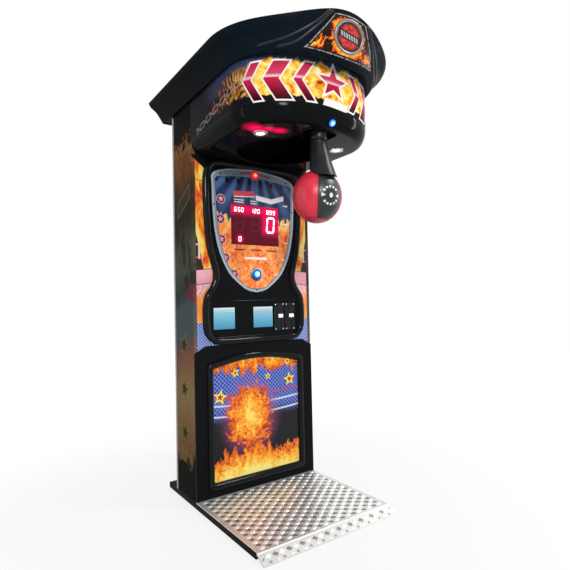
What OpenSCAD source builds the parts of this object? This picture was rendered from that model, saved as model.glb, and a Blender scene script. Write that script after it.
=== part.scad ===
// Boxing arcade machine: a column with display and coin console, a head that
// holds the swinging punch arm, and a tread plate to stand on.
// +X is to the right of a player who faces the machine, the front faces -Y, +Z is up.

/* [Overall] */
// Depth from the front of the head to the back of the transport wheels
overall_d = 1122; // [1100:2:1160]
// How far base and head reach behind the column
rear_overhang = 105; // [95:1:120]
// How far the transport wheels stand out behind the base
wheel_proud = 28; // [22:1:32]

/* [Cabinet] */
// Width of the cabinet
cab_w = 690; // [670:2:720]
// Depth of the cabinet column
cab_d = 230; // [215:1:260]
// Height of the side panels' top edge above the floor
cab_top = 1925; // [1900:5:1980]
// Thickness of the side panels and boards
panel_t = 18; // [16:1:20]
// Gap round the rear door
door_gap = 2; // [1.5:0.5:3]
// Height of the rear door's lower edge
door_low = 82; // [82:1:110]
// Height of the rear door's upper edge
door_high = 1690; // [1600:5:1700]
// Height of the shelf under the cash box
shelf_z = 330; // [300:5:380]

/* [Base] */
// Height of the base frame
base_h = 27; // [24:1:32]
// Wall of the base frame
base_wall = 4; // [3:0.5:5]
// Length of the platform in front of the cabinet
deck_l = 550; // [500:5:600]
// Thickness of the tread plate
tread_t = 3; // [2:0.5:4]
// Run of the folded lip in front of the platform
lip_run = 50; // [40:1:60]
// How far the lip is wider than the base on each side
lip_side = 6; // [3:1:10]
// Radius of a transport wheel
wheel_r = 36; // [33:1:38]
// Width of a transport wheel
wheel_w = 24; // [20:1:30]
// Distance of each wheel from the middle
wheel_x = 250; // [200:5:270]
// Radius of the wheel axle
axle_r = 5; // [4:0.5:6]

/* [Mouldings] */
// Thickness of the black moulded sheets
sheet_t = 6; // [5:0.5:8]
// Height of the raised ridges above the sheets
ridge_h = 15; // [10:1:18]
// Width of the ridge round the bezel and console
ridge_w = 34; // [28:1:40]
// Height where lower and upper moulding meet
split_z = 752; // [748:1:756]
// Half width of the ridge round the lower picture
door_half = 283; // [270:1:290]
// Lower edge of the ridge round the lower picture
door_z0 = 66; // [60:1:75]
// Upper corner of the ridge round the lower picture
door_z1 = 673; // [660:1:680]
// Rise of the arched top of that ridge
door_arch = 34; // [20:1:40]
// Width of the ridge round the lower picture
door_ridge_w = 33; // [26:1:38]

/* [Display] */
// Thickness of the display panel
display_t = 3; // [2:0.5:4]
// Width of the dark window
window_w = 284; // [260:2:300]
// Height of the dark window
window_h = 204; // [190:2:220]
// Height of the window's centre
window_z = 1351; // [1345:1:1360]
// Height of the select button
select_z = 1611; // [1605:1:1615]
// Height of the lower dome button
menu_z = 1101; // [1090:1:1110]

/* [Coin console] */
// Width of a coin plate
coin_w = 63; // [58:1:66]
// Height of a coin plate
coin_h = 145; // [135:1:155]
// Thickness of a coin plate
coin_t = 5; // [4:0.5:6]
// Height of the coin plates' centre
coin_z = 879; // [870:1:890]
// Distance between the two coin plates
coin_pitch = 69; // [68:1:72]
// Centre of the pair of coin plates
coin_x = 172; // [165:1:180]
// Width of an information plate
info_w = 115; // [100:1:120]
// Height of an information plate
info_h = 105; // [95:1:115]

/* [Head] */
// Height of the sign band's lower edge
band_z = 1739; // [1730:1:1750]
// Wall of the sign band and head mouldings
head_wall = 4; // [3:0.5:5]
// How far the band runs straight in front of the cabinet
band_straight = 390; // [370:5:410]
// How far the band reaches in front of the cabinet
band_reach = 640; // [620:2:650]
// Height of the head's flat underside
under_z = 1668; // [1660:1:1680]
// Radius of the rolled rim under the band
rim_in = 46; // [38:1:52]
// Half width of the opening that takes the ball
hole_a = 200; // [190:1:210]
// Half depth of the opening that takes the ball
hole_b = 190; // [185:1:195]
// Distance of the opening's centre in front of the cabinet
hole_reach = 237; // [230:1:242]
// Half width of the slot for the arm
slot_half = 78; // [70:1:84]
// How far the slot for the arm reaches in front of the cabinet
slot_reach = 588; // [580:1:592]
// Greatest half width of the visor
visor_half = 432; // [420:1:440]
// How far the visor runs straight in front of the cabinet
visor_straight = 382; // [370:2:390]
// Height of the visor's widest line at the sides
visor_wide_z = 2013; // [2005:1:2020]
// Rise of the widest line at the front
visor_lift = 58; // [50:1:62]

/* [Punch arm] */
// Height of the pivot
pivot_z = 1790; // [1786:1:1794]
// How far the pivot lies in front of the cabinet
pivot_reach = 549; // [545:1:552]
// Distance from pivot to the ball's centre
arm_l = 390; // [384:1:394]
// Lean of the hanging arm towards the cabinet
arm_lean = 4.5; // [3:0.5:6]
// Radius of the arm tube
tube_r = 20; // [18:1:22]
// Radius of the pivot shaft
shaft_r = 10; // [8:1:12]
// Running clearance of shafts in their bores
run_gap = 0.05; // [0.02:0.01:0.08]
// Radius of the ball at its widest
ball_r = 106; // [100:1:110]
// Half height of the ball
ball_h = 113; // [108:1:116]
// Radius of the sleeve
sleeve_r = 34; // [31:1:36]
// Half width of the sleeve's open foot
foot_r = 56; // [50:1:60]
// Half depth of the sleeve's open foot
foot_deep = 61; // [58:1:64]
// How far the sleeve's foot leans forward
foot_lean = 37; // [32:1:37]

/* [Fits] */
// Gap between pieces that lie beside each other
seat = 0.3; // [0.2:0.05:0.5]
// Gap round a piece that slides in its hole
slide_gap = 0.4; // [0.3:0.05:0.6]
// Travel of a button
press = 3; // [2:0.5:4]

/* [Hidden] */
$fn = 48;

// Main planes, worked out from the overall depth so that the origin is the middle of the floor plan
head_front_y = -overall_d / 2;
base_rear_y = overall_d / 2 - wheel_proud;
cab_rear_y = base_rear_y - rear_overhang;
front_y = cab_rear_y - cab_d;
half_w = cab_w / 2;
inner_half = half_w - panel_t;
deck_y = front_y - deck_l;
deck_top = base_h + tread_t;
sheet_y = front_y - sheet_t;
band_y0 = front_y - band_straight;
band_front_y = front_y - band_reach;
visor_y0 = front_y - visor_straight;
pivot_y = front_y - pivot_reach;

// Internal steel beams of the head and the boards that carry them
beam_w = 30;
beam_h = 40;
beam_x = 165;
beam_z = 1868;
// Swing of the arm from hanging to the latched place, in degrees
arm_up = 85;

module at_mirror() {
  children();
  mirror([1, 0, 0]) children();
}

// Extrudes a profile of [y, z] points along X, centred on x
module along_x(length, x = 0) {
  translate([x - length / 2, 0, 0]) rotate([90, 0, 90]) linear_extrude(length) children();
}

// Extrudes an outline of [x, z] points towards -Y from the plane y
module towards_front(y, depth) {
  translate([0, y, 0]) rotate([90, 0, 0]) linear_extrude(depth) children();
}

module rounded(w, h, r) {
  // rectangle with round corners, made of squares and circles so that it stays exact
  union() {
    square([w - 2 * r, h], center = true);
    square([w, h - 2 * r], center = true);
    for (sx = [-1, 1], sy = [-1, 1]) translate([sx * (w / 2 - r), sy * (h / 2 - r)]) circle(r);
  }
}

// Smooth open curve through points, with n steps between each pair
function curve_point(a, b, c, d, t) =
  0.5 * (2 * b + (c - a) * t + (2 * a - 5 * b + 4 * c - d) * t * t + (3 * b - a - 3 * c + d) * t * t * t);
function smooth(p, n) = let (m = len(p)) concat(
  [for (i = [0 : m - 2], k = [0 : n - 1])
    curve_point(p[max(i - 1, 0)], p[i], p[i + 1], p[min(i + 2, m - 1)], k / n)],
  [p[m - 1]]);
// Adds the mirror image of a right half that starts and ends on the middle line
function whole(half) = concat(half, [for (i = [len(half) - 2 : -1 : 1]) [-half[i][0], half[i][1]]]);
// Moves a closed counter-clockwise outline inwards by d along its own normals
function unit(v) = v / norm(v);
function inset(p, d) = let (m = len(p)) [for (i = [0 : m - 1])
  let (t = unit(p[(i + 1) % m] - p[(i + m - 1) % m])) p[i] + d * [-t[1], t[0]]];
// Skin between equally long closed rings, with both ends capped
function ring_faces(rings, m) = [for (j = [0 : rings - 2], i = [0 : m - 1], k = [0, 1])
  let (a = j * m + i, b = j * m + (i + 1) % m)
  k == 0 ? [a, a + m, b] : [b, a + m, b + m]];
function caps(rings, m) = [[for (i = [0 : m - 1]) i], [for (i = [m - 1 : -1 : 0]) (rings - 1) * m + i]];
// Skin between closed rings whose last ring joins the first
function loop_faces(rings, m) = [for (j = [0 : rings - 1], i = [0 : m - 1], k = [0, 1])
  let (n = (j + 1) % rings, a = j * m + i, b = j * m + (i + 1) % m, c = n * m + i, d = n * m + (i + 1) % m)
  k == 0 ? [a, c, b] : [b, c, d]];
function flat(list) = [for (ring = list, p = ring) p];

module skin(rings) {
  polyhedron(flat(rings), concat(ring_faces(len(rings), len(rings[0])), caps(len(rings), len(rings[0]))));
}

// Moulded ridge that stands out to -Y from the plane y, through outlines drawn one inside the other
ridge_steps = [[0.02, -0.1], [0.07, 0.6], [0.28, 0.95], [0.5, 1], [0.74, 0.85], [0.97, -0.1]];
module ridge(outlines, y) {
  rings = [for (i = [0 : len(outlines) - 1])
    [for (q = outlines[i]) [q[0], y - ridge_steps[i][1] * ridge_h, q[1]]]];
  polyhedron(flat(rings), loop_faces(len(rings), len(rings[0])));
}

// Base and platform

module base_frame() color("#1a1b1d") {
  cell = (base_rear_y - deck_y) / 3;
  notch = wheel_w + 3;
  difference() {
    along_x(cab_w) polygon([
      [base_rear_y, 0], [base_rear_y, base_h], [deck_y + 1, base_h],
      [deck_y + 1, base_h * 0.45], [deck_y + base_h * 0.55, 0]]);
    for (i = [0 : 2])
      translate([-half_w + base_wall, deck_y + base_h + i * cell, -1])
        cube([cab_w - 2 * base_wall, cell - (i == 2 ? base_h + base_wall : base_wall),
          base_h - base_wall + 1]);
    // notches for the transport wheels
    for (s = [-1, 1]) translate([s * wheel_x - notch / 2, wheel_y - wheel_r - 3, -1])
      cube([notch, wheel_r + wheel_proud, base_h + 2]);
  }
}

module tread_plate() color("#c8cacc") {
  along_x(cab_w)
    polygon([[front_y - seat, base_h], [front_y - seat, deck_top], [deck_y, deck_top], [deck_y, base_h]]);
  along_x(cab_w + 2 * lip_side) polygon([
    [deck_y, deck_top], [deck_y - lip_run, tread_t * 0.6], [deck_y - lip_run, 0],
    [deck_y - lip_run + tread_t, 0], [deck_y, base_h - 0.5]]);
}

wheel_y = base_rear_y + wheel_proud - wheel_r;
wheel_z = wheel_r + 4;
bracket_t = 4;

module wheel_bracket() {
  // two ears on a plate that is bolted to the base, with the axle's holes
  ear = wheel_w / 2 + 2;
  difference() {
    union() {
      for (s = [-1, 1]) along_x(bracket_t, s * (ear + bracket_t / 2)) polygon([
        [wheel_y - 50, base_h], [base_rear_y, base_h], [base_rear_y, wheel_z + axle_r + 8],
        [wheel_y - 12, wheel_z + axle_r + 8], [wheel_y - 50, base_h + 10]]);
      translate([-ear - bracket_t, wheel_y - 75, base_h]) cube([2 * (ear + bracket_t), 25 + 3, bracket_t]);
    }
    translate([-ear - bracket_t - 1, wheel_y, wheel_z]) rotate([0, 90, 0])
      cylinder(h = 2 * (ear + bracket_t) + 2, r = axle_r);
  }
}
module wheel_brackets() color("#26272a")
  for (s = [-1, 1]) translate([s * wheel_x, 0, 0]) wheel_bracket();

module wheel_axles() color("#b8bcc0")
  for (s = [-1, 1]) translate([s * wheel_x, wheel_y, wheel_z]) {
    reach = wheel_w / 2 + 2 + bracket_t;
    rotate([0, 90, 0]) translate([0, 0, -reach]) cylinder(h = 2 * reach, r = axle_r);
    for (e = [-1, 1]) rotate([0, e * 90, 0]) translate([0, 0, reach]) cylinder(h = 4, r = axle_r + 3);
  }

module wheel(x) translate([x, wheel_y, wheel_z]) rotate([0, 90, 0]) difference() {
  rotate_extrude($fn = 64) polygon([
    [axle_r + run_gap, -wheel_w / 2 - 1], [axle_r + 6, -wheel_w / 2 - 1], [axle_r + 8, -5],
    [wheel_r - 9, -5], [wheel_r - 7, -wheel_w / 2], [wheel_r - 2, -wheel_w / 2], [wheel_r, -wheel_w / 2 + 2],
    [wheel_r, wheel_w / 2 - 2], [wheel_r - 2, wheel_w / 2], [wheel_r - 7, wheel_w / 2], [wheel_r - 9, 5],
    [axle_r + 8, 5], [axle_r + 6, wheel_w / 2 + 1], [axle_r + run_gap, wheel_w / 2 + 1]]);
}
module wheel_left() color("#303235") wheel(-wheel_x);
module wheel_right() color("#303235") wheel(wheel_x);

// Cabinet column

module side_panel(x) translate([x, front_y, base_h]) cube([panel_t, cab_d, cab_top - base_h]);
module side_panel_left() color("#6b5a3a") side_panel(-half_w);
module side_panel_right() color("#6b5a3a") side_panel(half_w - panel_t);

// Openings in the front board behind the console's parts
mech_x = [coin_x - coin_pitch / 2, coin_x + coin_pitch / 2];
mech_w = coin_w - 18;
mech_h = coin_h - 40;

module front_board() color("#d9a441") difference() {
  translate([-inner_half, front_y, base_h]) cube([2 * inner_half, panel_t, beam_z - base_h]);
  translate([0, front_y - 1, window_z]) rotate([-90, 0, 0]) linear_extrude(panel_t + 2)
    square([window_w - 10, window_h - 10], center = true);
  for (x = mech_x) translate([x - mech_w / 2, front_y - 1, coin_z - mech_h / 2])
    cube([mech_w, panel_t + 2, mech_h]);
  for (z = [select_z, menu_z])
      translate([0, front_y - 1, z]) rotate([-90, 0, 0]) cylinder(h = panel_t + 2, r = 20);
}

module cabinet_rails() color("#8a6f4d") {
  translate([-inner_half, front_y + panel_t, base_h]) cube([2 * inner_half, cab_d - 2 * panel_t, panel_t]);
  translate([-inner_half, cab_rear_y - panel_t, base_h])
    cube([2 * inner_half, panel_t, door_low - door_gap - base_h]);
  translate([-inner_half, front_y + panel_t, shelf_z]) cube([2 * inner_half, cab_d - 3 * panel_t, panel_t]);
  translate([-inner_half, cab_rear_y - panel_t, door_high + door_gap])
    cube([2 * inner_half, panel_t, beam_z - door_high - door_gap]);
}

trim_w = 16;
trim_t = 1.5;
module edge_trims() color("#b9bcc0") at_mirror() {
  // angle over the rear outer edge, and a flat strip on the front edge
  translate([half_w, cab_rear_y - trim_w, base_h]) cube([trim_t, trim_w + trim_t, cab_top - base_h]);
  translate([half_w - panel_t, cab_rear_y, base_h]) cube([panel_t, trim_t, cab_top - base_h]);
}

hinge_zs = [door_low + 150, (door_low + door_high) / 2, door_high - 150];
hinge_r = 5;
hinge_pin_r = 2.5;
leaf_t = 2;
hinge_x = -inner_half;
hinge_y = cab_rear_y + hinge_r + 2;
knuckle = 24;
knuckle_gap = 0.4;
leaf_edge = hinge_r + 1;

module rear_door() color("#2a2b2e") difference() {
  translate([-inner_half + door_gap, cab_rear_y - panel_t, door_low])
    cube([2 * (inner_half - door_gap), panel_t, door_high - door_low]);
  translate([lock_x, cab_rear_y - panel_t - 1, lock_z]) rotate([-90, 0, 0])
    cylinder(h = panel_t + 2, r = lock_r + run_gap);
  for (i = [0 : vent_count - 1])
    translate([-vent_l / 2, cab_rear_y - panel_t - 1, door_high - vent_drop - i * vent_step])
      cube([vent_l, panel_t + 2, vent_w]);
}
vent_count = 8;
vent_l = 180;
vent_w = 6;
vent_step = 18;
vent_drop = 140;
lock_x = inner_half - 30;
lock_z = 900;
lock_r = 9;

// Five knuckles make one hinge: the fixed leaf has the even ones, the door's leaf the odd ones
hinge_count = 5;
hinge_l = hinge_count * knuckle - knuckle_gap;
module knuckles(first, web_x, web_y, web_h) for (z = hinge_zs, i = [first : 2 : hinge_count - 1])
  translate([hinge_x, hinge_y, z + (i - hinge_count / 2) * knuckle]) difference() {
    union() {
      cylinder(h = knuckle - knuckle_gap, r = hinge_r);
      translate([web_x, web_y - hinge_y, 0]) cube([leaf_edge, web_h, knuckle - knuckle_gap]);
    }
    translate([0, 0, -1]) cylinder(h = knuckle + 2, r = hinge_pin_r + run_gap);
  }
module leaf(x, y, width) for (z = hinge_zs)
  translate([x, y, z - hinge_l / 2]) cube([width, leaf_t, hinge_l]);
module hinge_leaves_fixed() color("#9a9da1") {
  knuckles(0, -leaf_edge, cab_rear_y + trim_t, 4);
  leaf(-half_w, cab_rear_y + trim_t, half_w + hinge_x - leaf_edge + 0.5);
}
module hinge_leaves_door() color("#9a9da1") {
  knuckles(1, 1, cab_rear_y, 5);
  leaf(hinge_x + leaf_edge, cab_rear_y, 26);
}
pin_head = 2;
module hinge_pins() color("#b8bcc0") for (z = hinge_zs)
  translate([hinge_x, hinge_y, z - hinge_count * knuckle / 2]) {
    cylinder(h = hinge_l, r = hinge_pin_r);
    translate([0, 0, -pin_head]) cylinder(h = pin_head, r = hinge_r);
    translate([0, 0, hinge_l]) cylinder(h = pin_head, r = hinge_r);
  }

// Lock barrel with key slot and a cam that turns behind the strike
cam_l = 24;
cam_w = 14;
cam_t = 3;
cam_depth = panel_t + 6;
module rear_lock() color("#c4c7ca") translate([lock_x, cab_rear_y, lock_z]) rotate([90, 0, 0]) {
  rim = 2.5;
  difference() {
    union() {
      translate([0, 0, -seat / 3]) cylinder(h = cam_depth + cam_t + seat / 3, r = lock_r);
      translate([0, 0, -rim - seat / 3]) cylinder(h = rim, r = lock_r + 4);
    }
    translate([-1, -4, -rim - 1]) cube([2, 8, 5]);
  }
  translate([-cam_w / 2, -cam_w / 2, cam_depth]) cube([cam_w, cam_l + cam_w / 2, cam_t]);
}
module lock_strike() color("#9a9da1") {
  tongue = 20;
  front = cab_rear_y - cam_depth + seat;
  translate([inner_half - tongue, front, lock_z - tongue]) cube([tongue, cam_t, 2 * tongue]);
  translate([inner_half - cam_t, front - 25, lock_z - tongue]) cube([cam_t, 26, 2 * tongue]);
}

// Mouldings on the front

shoulder_z = 720;
module lower_sheet() polygon([
  [-half_w, base_h + tread_t + seat], [half_w, base_h + tread_t + seat], [half_w, shoulder_z],
  [half_w - 60, split_z], [-half_w + 60, split_z], [-half_w, shoulder_z]]);

// Arched outline round the lower picture, drawn d inside the ridge's outer edge
door_corner = 28;
function door_half_line(d) = let (
  hw = door_half - d, z0 = door_z0 + d, z1 = door_z1 - d, r = max(8, door_corner - 0.6 * d)) concat(
  [[0, z0]],
  [for (i = [0 : 5]) [hw - r + r * sin(i * 18), z0 + r - r * cos(i * 18)]],
  [for (i = [0 : 4]) [hw - r + r * cos(i * 18), z1 - r + r * sin(i * 18)]],
  [for (i = [1 : 7]) let (x = (hw - r) * (1 - i / 7)) [x, z1 + door_arch * (1 - pow(x / (hw - r), 2))]]);
function door_line(d) = whole(door_half_line(d));

module lower_moulding() color("#0d0e10") {
  difference() {
    towards_front(front_y, sheet_t) lower_sheet();
    towards_front(front_y - 2, sheet_t) polygon(door_line(door_ridge_w));
  }
  ridge([for (t = ridge_steps) door_line(t[0] * door_ridge_w)], sheet_y);
}

module picture_panel() color("#3b4ea0")
  towards_front(front_y - 2 - seat / 3, 2) polygon(door_line(door_ridge_w + seat));

console_half = 298;
waist_half = 240;
bezel_half = 291;
bezel_top = under_z - seat;
// The smooth outline dips a little below its points, so the sheets keep this gap at their meeting line
split_gap = 1.4;
bezel_right = smooth([
  [0, split_z + split_gap], [console_half - 110, split_z + split_gap], [console_half - 46, split_z + 14],
  [console_half - 10, split_z + 54], [console_half, split_z + 110], [console_half, 940],
  [console_half - 12, 996], [waist_half + 16, 1040], [waist_half, 1090], [waist_half + 12, 1146],
  [waist_half + 30, 1215], [bezel_half - 10, 1295], [bezel_half - 3, 1400], [bezel_half, 1510],
  [bezel_half - 4, bezel_top - 84], [bezel_half - 24, bezel_top - 34], [bezel_half - 76, bezel_top - 4],
  [0, bezel_top]], 3);
bezel_line = whole(bezel_right);

// Shield outline of the display panel
display_right = smooth([
  [0, 1009], [50, 1018], [100, 1050], [157, 1104], [206, 1201], [232, 1311], [243, 1450], [244, 1540],
  [240, 1594], [150, 1626], [0, 1639]], 3);
display_line = whole(display_right);
field_half = 262;
field_z0 = 788;
field_z1 = 966;
field_deep = 3;

// Neck of the moulding under the head, as wide as the cabinet at its top
neck_low = 1612;
neck_edge = 1662;
neck_line = [
  [-bezel_half + 10, neck_low], [bezel_half - 10, neck_low], [half_w, neck_edge], [half_w, bezel_top],
  [-half_w, bezel_top], [-half_w, neck_edge]];
module console_moulding() color("#0d0e10") {
  difference() {
    towards_front(front_y, sheet_t) union() {
      polygon(bezel_line);
      polygon(neck_line);
    }
    translate([0, sheet_y + field_deep, (field_z0 + field_z1) / 2]) rotate([90, 0, 0])
      linear_extrude(sheet_t) rounded(2 * field_half, field_z1 - field_z0, 24);
    translate([0, front_y + 1, window_z]) rotate([90, 0, 0]) linear_extrude(sheet_t + 2)
      square([window_w - 6, window_h - 6], center = true);
    for (x = mech_x) translate([x - mech_w / 2, front_y - sheet_t - 1, coin_z - mech_h / 2])
      cube([mech_w, sheet_t + 2, mech_h]);
    for (z = [select_z, menu_z]) translate([0, front_y - sheet_t - 1, z]) rotate([-90, 0, 0])
      cylinder(h = sheet_t + 2, r = 20);
  }
  // the ridge is trimmed where the display panel sits against it
  difference() {
    ridge([for (t = ridge_steps) inset(bezel_line, t[0] * ridge_w)], sheet_y);
    towards_front(sheet_y, ridge_h + 1) polygon(inset(display_line, -seat));
  }
}

select_hole = 15;
menu_hole = 19;
display_face_y = sheet_y - display_t;
module display_panel() color("#aeb8c4") difference() {
  towards_front(sheet_y, display_t) polygon(display_line);
  translate([0, sheet_y + 1, window_z]) rotate([90, 0, 0]) linear_extrude(display_t + 2)
    square([window_w, window_h], center = true);
  translate([0, sheet_y + 1, select_z]) rotate([90, 0, 0]) cylinder(h = display_t + 2, r = select_hole);
  translate([0, sheet_y + 1, menu_z]) rotate([90, 0, 0]) cylinder(h = display_t + 2, r = menu_hole);
}

module display_window() color("#5a0714") translate([0, sheet_y, window_z]) rotate([90, 0, 0])
  linear_extrude(display_t - 0.5) square([window_w - 0.6, window_h - 0.6], center = true);

// Circuit board behind the window, with digit blocks in three small groups, three large and one single
module digit(x, z, w, h) translate([x - w / 2, front_y + panel_t - 9, z - h / 2]) cube([w, 9, h]);
module display_board() color("#16402a") {
  translate([-window_w / 2 - 10, front_y + panel_t, window_z - window_h / 2 - 10])
    cube([window_w + 20, 2, window_h + 20]);
  for (g = [-1, 0, 1]) {
    for (i = [-1, 0, 1]) digit(g * 95 + i * 19, window_z + window_h * 0.37, 16, 24);
    digit(g * 92, window_z + 8, 54, 84);
  }
  digit(-92, window_z - window_h * 0.36, 18, 26);
}

screw_spots = [[-196, 1594], [196, 1594], [0, 1020], [233, 1440], [-233, 1440]];
module display_screws() color("#2b2d30") for (p = screw_spots)
  translate([p[0], display_face_y, p[1]]) rotate([90, 0, 0]) difference() {
    cylinder(h = 2, r = 4.5);
    translate([0, 0, 1]) cylinder(h = 2, r = 1.8, $fn = 6);
  }

// A ring nut that holds a push button, drawn along +Z from the face it sits on
module ring_nut(hole_r, outer_r, height) rotate_extrude($fn = 64) polygon([
  [hole_r - 2, -12], [hole_r - 0.1, -12], [hole_r - 0.1, 0], [outer_r, 0], [outer_r, height * 0.4],
  [outer_r - height * 0.5, height], [hole_r - 2, height]]);
module dome_cap(r, stem, height) rotate_extrude($fn = 64) polygon(concat(
  [[0, -stem], [r, -stem]],
  [for (i = [0 : 8]) [r * cos(i * 90 / 8) , height * sin(i * 90 / 8)]]));

module on_display(z) translate([0, display_face_y, z]) rotate([90, 0, 0]) children();
module select_ring() color("#b81f2a") on_display(select_z) ring_nut(select_hole, 24, 4);
module select_button() color("#f0303a") on_display(select_z) translate([0, 0, press + 1.5])
  dome_cap(select_hole - 2 - slide_gap, 12, 5);
module menu_ring() color("#c9ccd0") on_display(menu_z) ring_nut(menu_hole, 34, 7);
module menu_button() color("#2f7fe8") on_display(menu_z) translate([0, 0, press + 4])
  dome_cap(menu_hole - 2 - slide_gap, 14, 9);

// Coin console

field_y = sheet_y + field_deep;
info_x = [-185, 39];
info_z = coin_z + 2;
module info_plates() color("#8fc4de") for (x = info_x)
  translate([x - info_w / 2, field_y - 2, info_z - info_h / 2]) cube([info_w, 2, info_h]);

key_w = 26;
key_h = 18;
key_dx = 8;
key_dz = 4;
slot_dx = -15;
module coin_plate(x) translate([x, field_y, coin_z]) rotate([90, 0, 0]) difference() {
  linear_extrude(coin_t) rounded(coin_w, coin_h, 3);
  // slanted guide grooves above and below the middle
  for (s = [-1, 1]) translate([s * -9, s * 42, coin_t - 2.5]) rotate([0, 0, 12])
    translate([-2.5, -22, 0]) cube([5, 44, 4]);
  // coin slot and the hole of the lit key
  translate([slot_dx - 1.75, key_dz - 15, -1]) cube([3.5, 30, coin_t + 2]);
  translate([key_dx - key_w / 2, key_dz - key_h / 2, -1]) cube([key_w, key_h, coin_t + 2]);
  translate([-14, -38, -1]) cylinder(h = coin_t + 2, r = 3);
}
module coin_plates() color("#2b2f33") for (x = mech_x) coin_plate(x);
plate_screw = [coin_w / 2 - 8, coin_h / 2 - 8];
module coin_plate_screws() color("#c9ccd0")
  for (x = mech_x, sx = [-1, 1], sz = [-1, 1])
    translate([x + sx * plate_screw[0], field_y - coin_t, coin_z + sz * plate_screw[1]])
      rotate([90, 0, 0]) rotate_extrude($fn = 24)
        polygon([[0, 0], [4, 0], [3.6, 1.2], [2.2, 2.2], [0, 2.5]]);
module coin_key(x) translate([x + key_dx, field_y + 2, coin_z + key_dz]) rotate([90, 0, 0])
  linear_extrude(coin_t + 2 + press + 1) rounded(key_w - 2 * slide_gap, key_h - 2 * slide_gap, 2);
module coin_key_left() color("white") coin_key(mech_x[0]);
module coin_key_right() color("white") coin_key(mech_x[1]);

mech_y = front_y + panel_t;
module coin_mechanisms() color("#4a4d52") for (x = mech_x) {
  translate([x - 26, mech_y, coin_z - 70]) difference() {
    cube([52, 75, 140]);
    translate([8, 12, 20]) cube([36, 70, 60]);
    translate([20, 20, -1]) cube([12, 40, 40]);
  }
  translate([x - 30, mech_y, coin_z + 70]) cube([60, 20, 3]);
}

chute_w = coin_pitch + 62;
box_top = shelf_z + panel_t + 130;
module coin_chute() color("#a9adb2") {
  // folded funnel from the mechanisms down to the cash box
  top = coin_z - 70 - seat;
  difference() {
    along_x(chute_w, coin_x) polygon([
      [mech_y, top], [mech_y + 78, top], [mech_y + 78, top - 60], [mech_y + 78, box_top + 14],
      [mech_y + 18, box_top + 14], [mech_y, top - 60]]);
    along_x(chute_w - 4, coin_x) polygon([
      [mech_y + 2, top + 1], [mech_y + 76, top + 1], [mech_y + 76, top - 60], [mech_y + 76, box_top + 13],
      [mech_y + 20, box_top + 13], [mech_y + 2, top - 60]]);
  }
}

cash = [200, 140, 110];
cash_x = coin_x - 20;
module cash_box() color("#5c6066")
  translate([cash_x - cash[0] / 2, mech_y + 5, shelf_z + panel_t]) difference() {
  cube([cash[0], cash[1], cash[2]]);
  translate([2, 2, 2]) cube([cash[0] - 4, cash[1] - 4, cash[2]]);
  translate([cash[0] / 2 - 40, cash[1] - 3, cash[2] - 30]) cube([80, 5, 16]);
}

supply = [180, 110, 60];
supply_slots = 8;
module power_supply() color("#9fa3a8")
  translate([-inner_half + 60, mech_y + 30, base_h + panel_t]) difference() {
  cube([supply[0], supply[1], supply[2]]);
  for (i = [0 : supply_slots - 1]) translate([supply[0] / 9 * (i + 1), supply[1] - 5, supply[2] / 5])
    cube([8, 10, supply[2] * 0.6]);
}
module control_board() color("#1c4a30") {
  z0 = 1000;
  translate([-inner_half, front_y + 60, z0]) cube([6, 120, 180]);
  translate([-inner_half + 6, front_y + 60, z0]) cube([2, 120, 180]);
  translate([-inner_half + 8, front_y + 80, z0 + 90]) cube([10, 40, 30]);
  translate([-inner_half + 8, front_y + 130, z0 + 20]) cube([16, 14, 60]);
  for (i = [0 : 3]) translate([-inner_half + 8, front_y + 70 + i * 24, z0 + 150]) cube([9, 16, 12]);
}

// Head. Plan outlines run from the rear left, round the front, to the rear right.

function plan(hw, yr, y0, yf, n = 28) = concat([[-hw, yr]],
  [for (i = [0 : n]) let (a = 180 * i / n) [-hw * cos(a), y0 - (y0 - yf) * sin(a)]], [[hw, yr]]);
function level(points, z) = [for (p = points) [p[0], p[1], z]];

module sign_band() color("#20232c") translate([0, 0, band_z]) linear_extrude(cab_top - band_z) difference() {
  polygon(plan(half_w, front_y - seat, band_y0, band_front_y, 40));
  polygon(plan(half_w - head_wall, front_y + 1, band_y0, band_front_y + head_wall, 40));
}

// Rolled rim: [height below the band's edge, inward step] from the band down to the flat underside
rim_drop = band_z - under_z;
function rim_steps(t) = [for (i = [0 : 6]) let (a = i * 90 / 6)
  [band_z - (rim_drop - t) * sin(a), rim_in * (1 - cos(a)) + t]];
function rim_ring(z, d, yr) = level(plan(half_w - d, yr, band_y0, band_front_y + d), z);

module keyhole_shape(grow) {
  // ellipse for the ball and a slot with round end for the arm
  polygon([for (i = [0 : 47]) let (a = i * 360 / 48)
    [(hole_a + grow) * cos(a), front_y - hole_reach + (hole_b + grow) * sin(a)]]);
  translate([-slot_half - grow, front_y - slot_reach + 30])
    square([2 * (slot_half + grow), slot_reach - hole_reach - 30]);
  translate([0, front_y - slot_reach + 30]) polygon([for (i = [0 : 12]) let (a = 180 + i * 15)
    [(slot_half + grow) * cos(a), (30 + grow) * sin(a)]]);
}

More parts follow.
